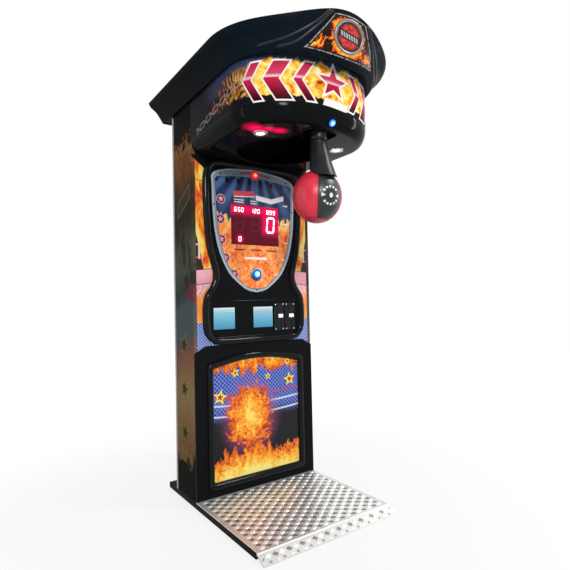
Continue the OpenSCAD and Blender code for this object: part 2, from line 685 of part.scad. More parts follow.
module head_underside() color("#08090b") {
  outer = rim_steps(0);
  inner = rim_steps(head_wall);
  difference() {
    skin(concat(
      [rim_ring(outer[6][0], outer[6][1], front_y - seat)],
      [for (i = [5 : -1 : 0]) rim_ring(outer[i][0], outer[i][1], front_y - seat)]));
    skin(concat(
      [rim_ring(inner[6][0], inner[6][1], front_y - head_wall)],
      [for (i = [5 : -1 : 1]) rim_ring(inner[i][0], inner[i][1], front_y - head_wall)],
      [rim_ring(band_z + 1, head_wall, front_y - head_wall)]));
    translate([0, 0, under_z - 5]) linear_extrude(20) keyhole_shape(0);
    for (s = [-1, 1]) translate([s * spot_x, spot_y, under_z - 5]) cylinder(h = 20, r = spot_r);
    start_place() translate([0, 0, -20]) cylinder(h = 40, r = start_hole);
  }
  // beaded edge round the keyhole
  translate([0, 0, under_z - 4]) linear_extrude(8) difference() {
    keyhole_shape(5);
    keyhole_shape(0);
  }
}

spot_x = 211;
spot_reach = 410;
spot_y = front_y - spot_reach;
spot_r = 26;
module spot_rings() color("#a8abb0") for (s = [-1, 1]) translate([s * spot_x, spot_y, under_z])
  rotate_extrude($fn = 48) polygon([
    [spot_r - 6, 12], [spot_r - seat, 12], [spot_r - seat, 0], [spot_r + 7, 0], [spot_r + 6, -3],
    [spot_r - 3, -4],
    [spot_r - 6, -2]]);
module spot_lenses() color("#fff6ec") for (s = [-1, 1]) translate([s * spot_x, spot_y, under_z])
  rotate_extrude($fn = 48)
    polygon([[0, 4], [spot_r - 6, 4], [spot_r - 6, -1], [spot_r * 0.5, -2.2], [0, -2.6]]);

// The start button sits on the rolled rim at the front, square to its curve
start_tilt = 48;
start_hole = 17;
module start_place()
  translate([0, band_front_y + rim_in * (1 - cos(start_tilt)), band_z - rim_drop * sin(start_tilt)])
  rotate([90 + start_tilt - 8, 0, 0]) children();
module start_ring() color("#17181a") start_place() translate([0, 0, 1]) ring_nut(start_hole, 23, 4);
module start_button() color("#1f6df0") start_place() translate([0, 0, 1 + press + 1.5])
  dome_cap(start_hole - 2 - slide_gap, 12, 5);

// Visor shell: half width, straight part and reach change with height
visor_front_y = head_front_y;
visor_levels = [
  [cab_top - 4, half_w + 7, band_y0, band_front_y - 7, 0],
  [cab_top - 3.5, half_w + 12, band_y0 + 1, band_front_y - 50, -0.6],
  [cab_top + 9, half_w + 20, band_y0 + 3, band_front_y - 72, -0.65],
  [cab_top + 46, half_w + 47, band_y0 + 4, band_front_y - 95, 0],
  [cab_top + 68, visor_half - 11, visor_y0 - 4, visor_front_y + 10, 0.6],
  [visor_wide_z, visor_half, visor_y0, visor_front_y, 1],
  [visor_wide_z + 5, visor_half - 7, visor_y0, visor_front_y + 6, 1],
  [visor_wide_z + 9, visor_half - 26, visor_y0 + 4, visor_front_y + 24, 0.9],
  [visor_wide_z + 11, visor_half - 60, visor_y0 + 10, visor_front_y + 58, 0.6],
  [visor_wide_z + 12, visor_half - 110, visor_y0 + 20, visor_front_y + 110, 0]
];
visor_rear_y = base_rear_y;
face_levels = 5;
// The crest lifts the front of each level, most on the middle line
function crest(p, y0) = p[1] > y0 ? 0
  : pow((y0 - p[1]) / (y0 - visor_front_y), 2) * pow(cos(min(90, abs(p[0]) / 4.2)), 2);
// The inner skin hangs below the roof and stands above the rolled lip
lip_lift = head_wall + 1;
function skin_drop(z) = z > visor_wide_z ? head_wall : z < cab_top + 30 ? -lip_lift : 0;
function visor_ring(l, t, drop) = [for (p = plan(l[1] - t, visor_rear_y - t, l[2], l[3] + t, 32))
  [p[0], p[1], l[0] + visor_lift * l[4] * crest(p, l[2]) - drop]];
module visor_shell() color("#0f1216") {
  difference() {
    skin([for (l = visor_levels) visor_ring(l, 0, 0)]);
    skin(concat([visor_ring([cab_top - 6, half_w + 7, band_y0, band_front_y - 7, 0], head_wall, 0)],
      [for (l = visor_levels) visor_ring(l, head_wall, skin_drop(l[0]))]));
    badge_place() translate([0, 0, -badge_deep - 10]) linear_extrude(60) badge_oval(0);
  }
  // ledge that rests on the side panels and the band
  translate([0, 0, cab_top]) linear_extrude(head_wall) difference() {
    polygon(plan(half_w + 5, visor_rear_y - 2, band_y0, band_front_y - 5, 32));
    polygon(plan(half_w - 30, visor_rear_y - 40, band_y0, band_front_y + 30, 32));
  }
}

// A point on the visor's front face: a runs across, u runs from lower edge to widest line
function mix(a, b, t) = a + (b - a) * t;
function face_point(x, u, out) = let (
  i = min(face_levels - 1, floor(u * face_levels)), t = u * face_levels - i,
  a = visor_levels[i], b = visor_levels[i + 1],
  z0 = mix(a[0], b[0], t), hw = mix(a[1], b[1], t), y0 = mix(a[2], b[2], t), yf = mix(a[3], b[3], t),
  c = mix(a[4], b[4], t), y = y0 - (y0 - yf) * sqrt(1 - pow(x / hw, 2)))
  [x, y - out * 0.8, z0 + visor_lift * c * crest([x, y], y0) - out * 0.6];

// Crest insert: a triangle with blunt top that follows the visor's front face
crest_half = 186;
crest_top_half = 82;
crest_low = 0.41;
crest_high = 0.94;
crest_t = 4;
// Rows of the crest's grid; some fall on the visor's own levels, so that it lies flat on them
crest_rows = [crest_low, 0.5, 0.6, 0.7, 0.8, crest_high];
crest_cols = 18;
// Bonding tape behind the crest
crest_seat = 1.1;
function crest_grid(out) = [for (u = crest_rows, i = [0 : crest_cols])
  let (w = mix(crest_half, crest_top_half, pow((u - crest_low) / (crest_high - crest_low), 0.9)))
  face_point(w * (2 * i / crest_cols - 1), u, out)];
module grid_plate(front, back, rows, cols) {
  n = (rows + 1) * (cols + 1);
  function at(i, j) = j * (cols + 1) + i;
  edge = concat(
    [for (i = [0 : cols]) at(i, 0)], [for (j = [1 : rows]) at(cols, j)],
    [for (i = [cols - 1 : -1 : 0]) at(i, rows)], [for (j = [rows - 1 : -1 : 1]) at(0, j)]);
  m = len(edge);
  polyhedron(concat(front, back), concat(
    [for (j = [0 : rows - 1], i = [0 : cols - 1], k = [0, 1])
      k == 0 ? [at(i, j), at(i, j + 1), at(i + 1, j)] : [at(i + 1, j), at(i, j + 1), at(i + 1, j + 1)]],
    [for (j = [0 : rows - 1], i = [0 : cols - 1], k = [0, 1])
      k == 0 ? [n + at(i, j), n + at(i + 1, j), n + at(i, j + 1)]
        : [n + at(i + 1, j), n + at(i + 1, j + 1), n + at(i, j + 1)]],
    [for (e = [0 : m - 1], k = [0, 1]) let (a = edge[e], b = edge[(e + 1) % m])
      k == 0 ? [a, b, n + a] : [b, n + b, n + a]]));
}
module crest_plate() color("#c2401c") difference() {
  grid_plate(crest_grid(crest_t), crest_grid(crest_seat), len(crest_rows) - 1, crest_cols);
  badge_place() translate([0, 0, -badge_deep - 10]) linear_extrude(60) badge_oval(0);
}

// Oval badge, a cup that is set through the crest into the visor
badge_u = 0.65;
badge_a = 76;
badge_b = 63;
badge_rim = 13;
badge_deep = 16;
badge_out = 7;
badge_tilt = 17.6;
badge_point = face_point(0, badge_u, 0);
module badge_place()
  translate([0, badge_point[1], badge_point[2]]) rotate([90 + badge_tilt, 0, 0]) children();
module badge_oval(d)
  polygon([for (i = [0 : 47]) [(badge_a - d) * cos(i * 7.5), (badge_b - d) * sin(i * 7.5)]]);
module badge_ring() color("#9a9da2") badge_place() difference() {
  translate([0, 0, -badge_deep]) linear_extrude(badge_deep + badge_out) badge_oval(seat);
  translate([0, 0, -badge_deep + 6]) linear_extrude(60) badge_oval(badge_rim);
}
module badge_disc() color("#b3261c") badge_place() translate([0, 0, -badge_deep + 6])
  linear_extrude(badge_deep - 3) badge_oval(badge_rim + seat);

// Steel frame inside the head, with the pivot of the punch arm

plate_x = 72;
plate_t = 8;
plate_reach = 40;
cross_t = 6;
bridge_t = 5;
bridge_z = pivot_z - 35;
rear_cross_y = pivot_y + 150;
rear_cross_w = 50;
module head_frame() color("#3a3d42") {
  reach_y = pivot_y - 45;
  for (s = [-1, 1]) translate([s * beam_x - beam_w / 2, reach_y, beam_z])
    cube([beam_w, cab_rear_y - reach_y, beam_h]);
  // cross plates between the beams
  translate([-beam_x - beam_w / 2, pivot_y - plate_reach, beam_z - cross_t])
    cube([2 * beam_x + beam_w, 2 * plate_reach, cross_t]);
  translate([-beam_x - beam_w / 2, rear_cross_y, beam_z - cross_t])
    cube([2 * beam_x + beam_w, rear_cross_w, cross_t]);
  difference() {
    for (s = [-1, 1]) translate([s * (plate_x + plate_t / 2) - plate_t / 2, pivot_y - plate_reach, bridge_z])
      cube([plate_t, 2 * plate_reach, beam_z - cross_t - bridge_z]);
    translate([-plate_x - plate_t - 1, pivot_y, pivot_z]) rotate([0, 90, 0])
      cylinder(h = 2 * (plate_x + plate_t) + 2, r = bearing_r);
    translate([plate_x - 1, latch_y, latch_z]) rotate([0, 90, 0])
      cylinder(h = plate_t + 2, r = plunger_r + slide_gap);
  }
  // bridge that carries the front buffer
  translate([-plate_x, pivot_y - plate_reach, bridge_z]) cube([2 * plate_x, bridge_t, 40]);
}

bearing_r = 19;
module pivot_bearings() color("#cfd2d5") for (s = [-1, 1])
  translate([s * (plate_x + plate_t / 2), pivot_y, pivot_z]) rotate([0, 90, 0])
    rotate_extrude($fn = 48) polygon([
      [shaft_r, -plate_t / 2 - 2], [bearing_r, -plate_t / 2 - 2],
      [bearing_r, plate_t / 2 + 2], [shaft_r, plate_t / 2 + 2]]);

shaft_half = plate_x + plate_t + 8;
module pivot_shaft() color("#b8bcc0") translate([-shaft_half, pivot_y, pivot_z]) rotate([0, 90, 0])
  cylinder(h = 2 * shaft_half, r = shaft_r);

// The arm is drawn hanging straight down from the pivot and then leans towards the cabinet
module in_arm() translate([0, pivot_y, pivot_z]) rotate([arm_lean, 0, 0]) children();
hub_r = 24;
hub_half = 50;
neck_angle = 65;
flange_t = 6;
tube_end = arm_l - ball_h * sin(neck_angle) - seat - flange_t;
quad_x = 40;
quad_t = 6;
quad_r = 52;
quad_angle = 60;
module arm_tube() color("#6d7176") in_arm() difference() {
  union() {
    translate([-hub_half, 0, 0]) rotate([0, 90, 0]) cylinder(h = 2 * hub_half, r = hub_r);
    translate([0, 0, -tube_end]) cylinder(h = tube_end, r = tube_r);
    translate([0, 0, -tube_end - flange_t]) cylinder(h = flange_t, r = tube_r + 8);
    // quadrant plate that the latch holds while the arm is up
    translate([quad_x, 0, 0]) rotate([0, 90, 0]) linear_extrude(quad_t) polygon(concat([[0, 0]],
      [for (i = [0 : 8]) let (a = 90 + i * quad_angle / 8) quad_r * [cos(a), sin(a)]]));
  }
  translate([-hub_half - 1, 0, 0]) rotate([0, 90, 0]) cylinder(h = 2 * hub_half + 2, r = shaft_r + run_gap);
}

// Padded sleeve, a thin shell round the tube that flares and leans forward at its foot
sleeve_top = 40;
sleeve_mid = 150;
sleeve_wall = 3;
sleeve_n = 24;
function foot_drop(a) = arm_l - 97.5 + 8 * cos(2 * a) - 27 * sin(a);
function sleeve_ring(t, r, wall) = [for (i = [0 : sleeve_n - 1]) let (
  a = i * 360 / sleeve_n, q = t < 0 ? 0 : t, flare = pow(q, 1.2),
  rx = mix(r, foot_r, flare) - wall, ry = mix(r, foot_deep, flare) - wall,
  z = t < 0 ? mix(sleeve_mid, sleeve_top, -t) : mix(sleeve_mid, foot_drop(a), q))
  [rx * cos(a), ry * sin(a) - foot_lean * pow(q, 1.4), -z]];
module arm_sleeve() color("#1b2226") in_arm() {
  outer = [for (t = [-1, -0.04, 0, 0.06, 0.25, 0.45, 0.65, 0.85, 1])
    sleeve_ring(t, sleeve_r + (t == 0 ? -1.2 : 0), 0)];
  inner = [for (t = [1, 0.65, 0.25, 0, -0.9]) sleeve_ring(t, sleeve_r, sleeve_wall)];
  difference() {
    skin([for (i = [len(outer) - 1 : -1 : 0]) outer[i]]);
    skin(concat([[for (p = inner[0]) p - [0, 0, 4]]], [for (i = [0 : len(inner) - 1]) inner[i]]));
    translate([0, 0, -sleeve_top - 20]) cylinder(h = 40, r = tube_r + seat);
  }
}

// Stuffed ball of five gores that swell between their seams, with a flat neck and a round cap below
gores = 5;
ball_steps = 45;
ball_rows = 18;
function swell(a) = 1 - 0.022 * pow(abs(cos(a * gores / 2)), 6);
function ball_ring(v) = [for (i = [0 : ball_steps - 1]) let (a = i * 360 / ball_steps)
  [ball_r * cos(v) * swell(a + 90) * cos(a), ball_r * cos(v) * swell(a + 90) * sin(a), ball_h * sin(v)]];
module punch_ball() color("#b01c2e") in_arm() translate([0, 0, -arm_l])
  skin([for (j = [0 : ball_rows]) ball_ring(mix(-86, neck_angle, j / ball_rows))]);

// Rubber buffers: one in front of the hanging arm, one above the sleeve of the raised arm
buffer_z = pivot_z - 30;
front_buffer_r = 9;
rear_buffer_r = 12;
module stop_buffers() color("#1c1c1c") {
  buffer_drop = pivot_z - buffer_z - front_buffer_r;
  front_face = pivot_y - tube_r / cos(arm_lean) + buffer_drop * tan(arm_lean) - seat;
  translate([0, pivot_y - plate_reach + bridge_t, buffer_z]) rotate([-90, 0, 0])
    cylinder(h = front_face - pivot_y + plate_reach - bridge_t, r = front_buffer_r);
  translate([0, rear_cross_y + 15, pivot_z + sleeve_r - 0.7])
    cylinder(h = beam_z - cross_t - pivot_z - sleeve_r + 0.7, r = rear_buffer_r);
}

// Latch: a solenoid pushes its plunger in front of the quadrant plate while the arm is up
plunger_r = 6;
plunger_l = 60;
latch_reach = 40;
latch_angle = arm_lean + arm_up - 10;
latch_y = pivot_y + latch_reach * cos(latch_angle);
latch_z = pivot_z + latch_reach * sin(latch_angle);
module latch_solenoid() color("#5a5e64") {
  body = [50, 36, 32];
  translate([plate_x + plate_t + seat / 3, latch_y - body[1] / 2, latch_z - body[2] / 2]) difference() {
    cube(body);
    translate([-1, body[1] / 2, body[2] / 2]) rotate([0, 90, 0])
      cylinder(h = body[0] + 2, r = plunger_r + run_gap);
  }
}
module latch_plunger() color("#c4c7ca") translate([quad_x + quad_t + 4, latch_y, latch_z]) rotate([0, 90, 0])
  cylinder(h = plunger_l, r = plunger_r);

module impact_sensor() color("#1c4a30") translate([-plate_x, pivot_y - 30, pivot_z + 30]) {
  cube([3, 50, 36]);
  translate([3, 18, 4]) cube([12, 16, 12]);
}

base_frame();
tread_plate();
wheel_brackets();
wheel_axles();
wheel_left();
wheel_right();
side_panel_left();
side_panel_right();
front_board();
cabinet_rails();
edge_trims();
rear_door();
hinge_leaves_fixed();
hinge_leaves_door();
hinge_pins();
rear_lock();
lock_strike();
lower_moulding();
picture_panel();
console_moulding();
display_panel();
display_window();
display_board();
display_screws();
select_ring();
select_button();
menu_ring();
menu_button();
info_plates();
coin_plates();
coin_plate_screws();
coin_key_left();
coin_key_right();
coin_mechanisms();
coin_chute();
cash_box();
power_supply();
control_board();
sign_band();
head_underside();
visor_shell();
crest_plate();
badge_ring();
badge_disc();
spot_rings();
spot_lenses();
start_ring();
start_button();
head_frame();
pivot_shaft();
pivot_bearings();
arm_tube();
arm_sleeve();
punch_ball();
stop_buffers();
latch_solenoid();
latch_plunger();
impact_sensor();
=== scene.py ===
"""Dresses the fixed CAD frame of a boxing arcade machine: finishes, printed art and fine pieces."""

from math import acos, atan2, cos, exp, hypot, pi, radians, sin, sqrt

import bmesh
import bpy
from mathutils import Matrix, Vector


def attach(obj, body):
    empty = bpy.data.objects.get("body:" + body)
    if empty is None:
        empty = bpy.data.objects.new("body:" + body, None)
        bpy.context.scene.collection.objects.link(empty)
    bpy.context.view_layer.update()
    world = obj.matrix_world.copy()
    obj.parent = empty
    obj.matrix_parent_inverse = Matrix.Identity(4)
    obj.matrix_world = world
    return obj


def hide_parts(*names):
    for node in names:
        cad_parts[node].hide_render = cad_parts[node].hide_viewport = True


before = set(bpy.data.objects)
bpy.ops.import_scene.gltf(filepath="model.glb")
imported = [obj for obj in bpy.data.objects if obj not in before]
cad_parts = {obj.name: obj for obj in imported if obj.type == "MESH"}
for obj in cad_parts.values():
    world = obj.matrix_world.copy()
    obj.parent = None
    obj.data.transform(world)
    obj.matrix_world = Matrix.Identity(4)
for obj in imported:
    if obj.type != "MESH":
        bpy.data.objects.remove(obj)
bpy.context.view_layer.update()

bl_info = {
    "name": "Punch machine look", "version": (1, 0, 0), "blender": (4, 5, 0),
    "location": "View3D > Sidebar > Punch machine",
    "description": "Finishes, printed art and fine pieces for a boxing arcade machine",
    "category": "Object",
}

# Main planes of the machine, in metres, as the part's source gives them
HALF_W = 0.345
FRONT_Y = 0.198
SHEET_Y = 0.192
FACE_Y = 0.189
REAR_Y = 0.533
DECK_Y = -0.352
DECK_TOP = 0.030
LIP_END_Y = -0.402
BAND_Y0 = -0.192
BAND_FRONT_Y = -0.442
BAND_Z = 1.739
CAB_TOP = 1.925
UNDER_Z = 1.668
SELECT_PLACE = (0.0, 0.1795, 1.611)
MENU_PLACE = (0.0, 0.176, 1.101)
KEYHOLE_Y = FRONT_Y - 0.237
KEYHOLE_A = 0.200
KEYHOLE_B = 0.190
SLOT_HALF = 0.078
SLOT_DEEP = 0.030
SLOT_Y = FRONT_Y - 0.588 + SLOT_DEEP
SPOT_X = 0.211
SPOT_Y = FRONT_Y - 0.410
SPOT_HOLE_R = 0.026
START_HOLE_R = 0.017
COIN_X = (0.1375, 0.2065)
COIN_Z = 0.879
COIN_SCREW_X = 0.0235
COIN_SCREW_Z = 0.0645
INFO_LOW = 0.828
INFO_H = 0.107
HEAD_WALL = 0.004
RIM_IN = 0.046
PIVOT = Vector((0.0, -0.351, 1.790))
ARM_LEAN = radians(4.5)
ARM_L = 0.390
VISOR_FRONT_Y = -0.561
VISOR_Y0 = -0.184
VISOR_HALF = 0.432
VISOR_WIDE_Z = 2.013
VISOR_LIFT = 0.058
CREST_MAP = "crest places"
CREST_LOW = 0.41
CREST_HIGH = 0.94
CREST_LOW_HALF = 0.186
CREST_TOP_HALF = 0.082
CREST_H = 0.150
BADGE_UP = 0.068
BADGE_Z = 1.986
BADGE_TILT = radians(17.6)
BADGE_A = 0.076
BADGE_B = 0.063
WINDOW_Z = 1.351
WINDOW_H = 0.204
SCORE_STEP = 0.095
DISPLAY_POINTS = [
    (0.0, 1.009), (0.050, 1.018), (0.100, 1.050), (0.157, 1.104), (0.206, 1.201), (0.232, 1.311),
    (0.243, 1.450), (0.244, 1.540), (0.240, 1.594), (0.150, 1.626), (0.0, 1.639),
]

# Depth under the printed skin from which a board shows its bare inside
SKIN = 0.0175


class LookSettings(bpy.types.PropertyGroup):
    """Sizes and colours that a user of this machine would change."""

    tread_pitch_x: bpy.props.FloatProperty(
        name="Tread pitch across", description="Repeat of the five-bar pattern across the platform",
        default=0.0625, unit="LENGTH")
    tread_pitch_y: bpy.props.FloatProperty(
        name="Tread pitch along", description="Repeat of the five-bar pattern along the platform",
        default=0.0495, unit="LENGTH")
    bar_height: bpy.props.FloatProperty(
        name="Bar height", description="Height of the raised bars of the tread plate",
        default=0.0013, unit="LENGTH")
    stitch_length: bpy.props.FloatProperty(
        name="Stitch length", description="Length of one stitch on the ball and the sleeve",
        default=0.0045, unit="LENGTH")
    ball_gores: bpy.props.IntProperty(
        name="Gores", description="Number of leather gores round the ball", default=5, min=4, max=8)
    ball_red: bpy.props.FloatVectorProperty(
        name="Ball red", description="Colour of the red gores", subtype="COLOR",
        default=(0.60, 0.022, 0.050))
    ball_black: bpy.props.FloatVectorProperty(
        name="Ball black", description="Colour of the front gore", subtype="COLOR",
        default=(0.007, 0.010, 0.011))
    moulding: bpy.props.FloatVectorProperty(
        name="Moulding black", description="Colour of the gloss black mouldings",
        default=(0.0035, 0.0040, 0.0045), subtype="COLOR")
    visor: bpy.props.FloatVectorProperty(
        name="Visor black", description="Colour of the satin visor", default=(0.0045, 0.0060, 0.0080),
        subtype="COLOR")
    digit_glow: bpy.props.FloatProperty(
        name="Digit glow", description="Light that a lit digit gives", default=5.0, min=0.0)
    lamp_glow: bpy.props.FloatProperty(
        name="Lamp glow", description="Light that a lit lamp gives", default=3.0, min=0.0)


def look():
    return bpy.context.scene.machine_look


# Node trees of the finishes


class Value:
    """A number or colour inside one material. Its sums, products and methods add nodes to the tree."""

    def __init__(self, finish, socket):
        self.finish = finish
        self.socket = socket

    def __add__(self, other):
        return self.finish.math("ADD", self, other)

    def __sub__(self, other):
        return self.finish.math("SUBTRACT", self, other)

    def __rsub__(self, other):
        return self.finish.math("SUBTRACT", other, self)

    def __mul__(self, other):
        return self.finish.math("MULTIPLY", self, other)

    def __truediv__(self, other):
        return self.finish.math("DIVIDE", self, other)

    def __abs__(self):
        return self.finish.math("ABSOLUTE", self)

    def step(self, low, high):
        """0 below low, 1 above high, smooth between; low above high turns it round."""
        made = self.finish.node("ShaderNodeMapRange", interpolation_type="SMOOTHSTEP")
        for name, number in (("Value", self), ("From Min", low), ("From Max", high)):
            self.finish.feed(made.inputs[name], number)
        return Value(self.finish, made.outputs["Result"])

    def between(self, low, high, soft):
        """1 between low and high, 0 outside them, with an edge of the given softness."""
        return self.step(low - soft, low + soft) * self.step(high + soft, high - soft)

    def wave(self):
        """Triangle wave between 0 and 1 with a period of 1."""
        return abs(self.finish.math("FRACT", self) * 2.0 - 1.0)

    def mix(self, a, b):
        """Colour a where the value is 0, colour b where it is 1."""
        made = self.finish.node("ShaderNodeMix", data_type="RGBA")
        for i, value in ((0, self), (6, a), (7, b)):
            self.finish.feed(made.inputs[i], value)
        return Value(self.finish, made.outputs[2])

    def ramp(self, stops):
        """Colour that follows the value through stops of (place, colour)."""
        made = self.finish.node("ShaderNodeValToRGB")
        elements = made.color_ramp.elements
        while len(elements) < len(stops):
            elements.new(0.5)
        for element, (place, colour) in zip(elements, stops):
            element.position = place
            element.color = (*colour, 1.0)
        self.finish.feed(made.inputs[0], self)
        return Value(self.finish, made.outputs[0])

    def bump(self, distance, strength):
        """Normal of a surface that has the value as its height."""
        made = self.finish.node("ShaderNodeBump")
        made.inputs["Strength"].default_value = strength
        made.inputs["Distance"].default_value = distance
        self.finish.feed(made.inputs["Height"], self)
        return Value(self.finish, made.outputs["Normal"])


class Finish:
    """One procedural material, built from named patterns on the Object coordinates."""

    names = {
        "colour": "Base Color", "metal": "Metallic", "rough": "Roughness", "gloss": "Specular IOR Level",
        "coat": "Coat Weight", "coat_rough": "Coat Roughness", "normal": "Normal",
        "glow": "Emission Color", "glow_strength": "Emission Strength",
    }

    def __init__(self, name, **shader):
        self.material = bpy.data.materials.new(name)
        self.material.use_nodes = True
        self.tree = self.material.node_tree
        self.shader = self.tree.nodes["Principled BSDF"]
        self.coordinates = None
        self.axes = None
        self.set(**shader)

    def set(self, **values):
        for key, value in values.items():
            self.feed(self.shader.inputs[self.names[key]], value)

    def done(self, **values):
        """Sets the last inputs and gives the material."""
        self.set(**values)
        return self.material

    def feed(self, socket, value):
        if isinstance(value, Value):
            self.tree.links.new(value.socket, socket)
        elif socket.type == "RGBA" and len(value) == 3:
            socket.default_value = (*value, 1.0)
        else:
            socket.default_value = value

    def node(self, kind, **settings):
        made = self.tree.nodes.new(kind)
        for key, value in settings.items():
            setattr(made, key, value)
        return made

    def where(self):
        if self.coordinates is None:
            self.coordinates = Value(self, self.node("ShaderNodeTexCoord").outputs["Object"])
        return self.coordinates

    def xyz(self):
        if self.axes is None:
            split = self.node("ShaderNodeSeparateXYZ")
            self.feed(split.inputs[0], self.where())
            self.axes = [Value(self, split.outputs[i]) for i in range(3)]
        return self.axes

    def math(self, operation, a, b=0.0, clamp=False):
        made = self.node("ShaderNodeMath", operation=operation, use_clamp=clamp)
        for socket, value in zip(made.inputs, (a, b)):
            self.feed(socket, value)
        return Value(self, made.outputs[0])

    def noise(self, vector, scale, detail=4.0, rough=0.5, bend=0.0):
        made = self.node("ShaderNodeTexNoise")
        self.feed(made.inputs["Vector"], vector)
        for name, number in (("Scale", scale), ("Detail", detail), ("Roughness", rough),
                             ("Distortion", bend)):
            made.inputs[name].default_value = number
        return Value(self, made.outputs[0])

    def grain(self, scale, *shape):
        """Noise at the Object coordinates; shape is its detail, roughness and distortion."""
        return self.noise(self.where(), scale, *shape)

    def noise_at(self, place, *shape):
        """Noise at a place of up to three values, each already multiplied by its own scale."""
        made = self.node("ShaderNodeCombineXYZ")
        for socket, value in zip(made.inputs, place):
            self.feed(socket, value)
        return self.noise(Value(self, made.outputs[0]), 1.0, *shape)

    def cells(self, scale):
        made = self.node("ShaderNodeTexVoronoi", feature="F1")
        self.feed(made.inputs["Vector"], self.where())
        made.inputs["Scale"].default_value = scale
        return Value(self, made.outputs["Distance"])

    def speckle(self, scale, low, high):
        """Roughness that varies between low and high in a cloudy way."""
        return self.grain(scale, 5.0, 0.6) * (high - low) + low


def most(a, b):
    return a.finish.math("MAXIMUM", a, b)


def least(a, b):
    return a.finish.math("MINIMUM", a, b)


def distance(x, y):
    """Length of a vector on the surface."""
    return x.finish.math("SQRT", x * x + y * y)


def patch(x, left, right, z, low, high, soft=0.001, soft_up=0.001):
    """1 inside a rectangle on the surface, 0 outside it."""
    return x.between(left, right, soft) * z.between(low, high, soft_up)


def over(mask, colour, under):
    """The colour where the mask is 1, and what lies under it elsewhere."""
    return mask.mix(under, colour)


# Patterns of the printed art. Every one is a function of two lengths on the surface, in metres.

FIRE = [(0.0, (0.0, 0.0, 0.0)), (0.10, (0.16, 0.010, 0.004)), (0.26, (0.62, 0.055, 0.008)),
        (0.48, (0.95, 0.24, 0.012)), (0.72, (1.0, 0.56, 0.045)), (1.0, (1.0, 0.84, 0.24))]


def flames(across, up, reach, seed, size):
    """Heat of a row of flames that rise from up = 0 to about reach: 0 outside, 1 at the root."""
    finish = across.finish
    sway = finish.noise_at((across * (9.0 / size), up * (4.0 / size), seed), 2.0) - 0.5
    bent = across + sway * (0.09 * size)
    tongue = finish.noise_at((bent * (26.0 / size), up * (7.0 / size), seed + 3.0), 3.0, 0.55, 0.4)
    wide = finish.noise_at((bent * (9.0 / size), seed + 7.0), 1.0)
    return 1.0 - up / reach + (tongue - 0.52) * 1.5 + (wide - 0.5) * 1.1


def fire_colour(heat):
    lick = heat.finish.grain(34.0, 4.0, 0.6, 1.6) - 0.46
    vein = heat.finish.grain(92.0, 2.0, 0.5, 2.4) - 0.5
    hot = heat * 0.50 + lick * 1.15 + vein * 0.55
    return heat.finish.math("MULTIPLY", hot, 1.05, clamp=True).ramp(FIRE)


def net(across, up, pitch, thread):
    """1 on the threads of a diamond net, 0 in its holes."""
    near = most(((across + up) / pitch).wave(), ((across - up) / pitch).wave())
    return near.step(1.0 - thread * 1.25, 1.0 - thread * 0.75)


def star(across, up, centre, radius, turn):
    """Depth inside a five-pointed star, in radii: above 0 inside, below 0 outside."""
    finish = across.finish
    x = across - centre[0]
    y = up - centre[1]
    reach = distance(x, y) / radius
    angle = finish.math("ARCTAN2", x, y) + (turn + 20.0 * pi)
    part = 2.0 * pi / 5.0
    folded = abs(finish.math("MODULO", angle + part / 2.0, part) - part / 2.0)
    inner = 0.42
    dx = inner * cos(part / 2.0) - 1.0
    dy = inner * sin(part / 2.0)
    length = hypot(dx, dy)
    px = reach * finish.math("COSINE", folded) - 1.0
    py = reach * finish.math("SINE", folded)
    return (px * dy - py * dx) * (-1.0 / length)


# Plain finishes


def powder_coat(name, colour, rough=0.42):
    finish = Finish(name, gloss=0.015)
    tone = finish.grain(7.0, 3.0)
    lighter = tuple(channel * 1.6 + 0.002 for channel in colour)
    return finish.done(
        colour=tone.mix(colour, lighter), rough=finish.speckle(22.0, rough - 0.08, rough + 0.10),
        normal=finish.grain(900.0, 2.0).bump(0.0003, 0.35))


def brushed_metal(name, colour, rough, grain):
    finish = Finish(name, metal=1.0)
    x, y, z = finish.xyz()
    lines = finish.noise_at((x * grain[0], y * grain[1], z * grain[2]), 2.0)
    stain = finish.grain(9.0, 5.0, 0.65)
    darker = tuple(channel * 0.72 for channel in colour)
    return finish.done(
        colour=(lines * 0.35 + stain * 0.4).mix(colour, darker),
        rough=lines * 0.14 + stain * 0.10 + (rough - 0.12), normal=lines.bump(0.0002, 0.25))


def plain_metal(name, colour, rough):
    finish = Finish(name, metal=1.0)
    smear = finish.grain(60.0, 4.0)
    return finish.done(
        colour=smear.mix(colour, tuple(c * 0.8 for c in colour)),
        rough=finish.speckle(120.0, rough, rough + 0.12))


def gloss_moulding(name, gloss, rough):
    """Deep-drawn gloss black plastic with faint fingerprints and a slight orange-peel skin."""
    finish = Finish(name, gloss=gloss)
    smudge = finish.grain(16.0, 6.0, 0.7)
    peel = finish.grain(140.0, 2.0)
    wave = finish.grain(9.0, 2.0)
    return finish.done(
        colour=smudge.mix(tuple(look().moulding), (0.008, 0.009, 0.010)),
        rough=smudge.step(0.40, 0.85) * 0.10 + rough, normal=(peel * 0.10 + wave).bump(0.0009, 0.35))


def satin_visor():
    """Satin near-black shell that turns to navy, with a fine cell texture, towards its front and lower
    face; this navy is partly the shell's own tone and partly a painted highlight.
    """
    finish = Finish("Satin visor", gloss=0.02)
    x, y, z = finish.xyz()
    # Partly painted highlight: the shell lightens to navy towards its front and low on its face, where
    # the satin catches the light.
    forward = y.step(0.18, -0.42)
    low = z.step(2.06, 1.95)
    mesh = finish.cells(170.0)
    cloud = finish.grain(6.0, 4.0)
    navy = mesh.mix((0.0030, 0.0075, 0.0130), (0.0060, 0.0130, 0.0210))
    shade = forward * (low * 0.6 + 0.4) * (cloud * 0.5 + 0.6)
    return finish.done(
        colour=shade.mix(tuple(look().visor), navy), rough=finish.speckle(30.0, 0.34, 0.46),
        normal=(mesh * 0.6 + cloud).bump(0.0005, 0.30))


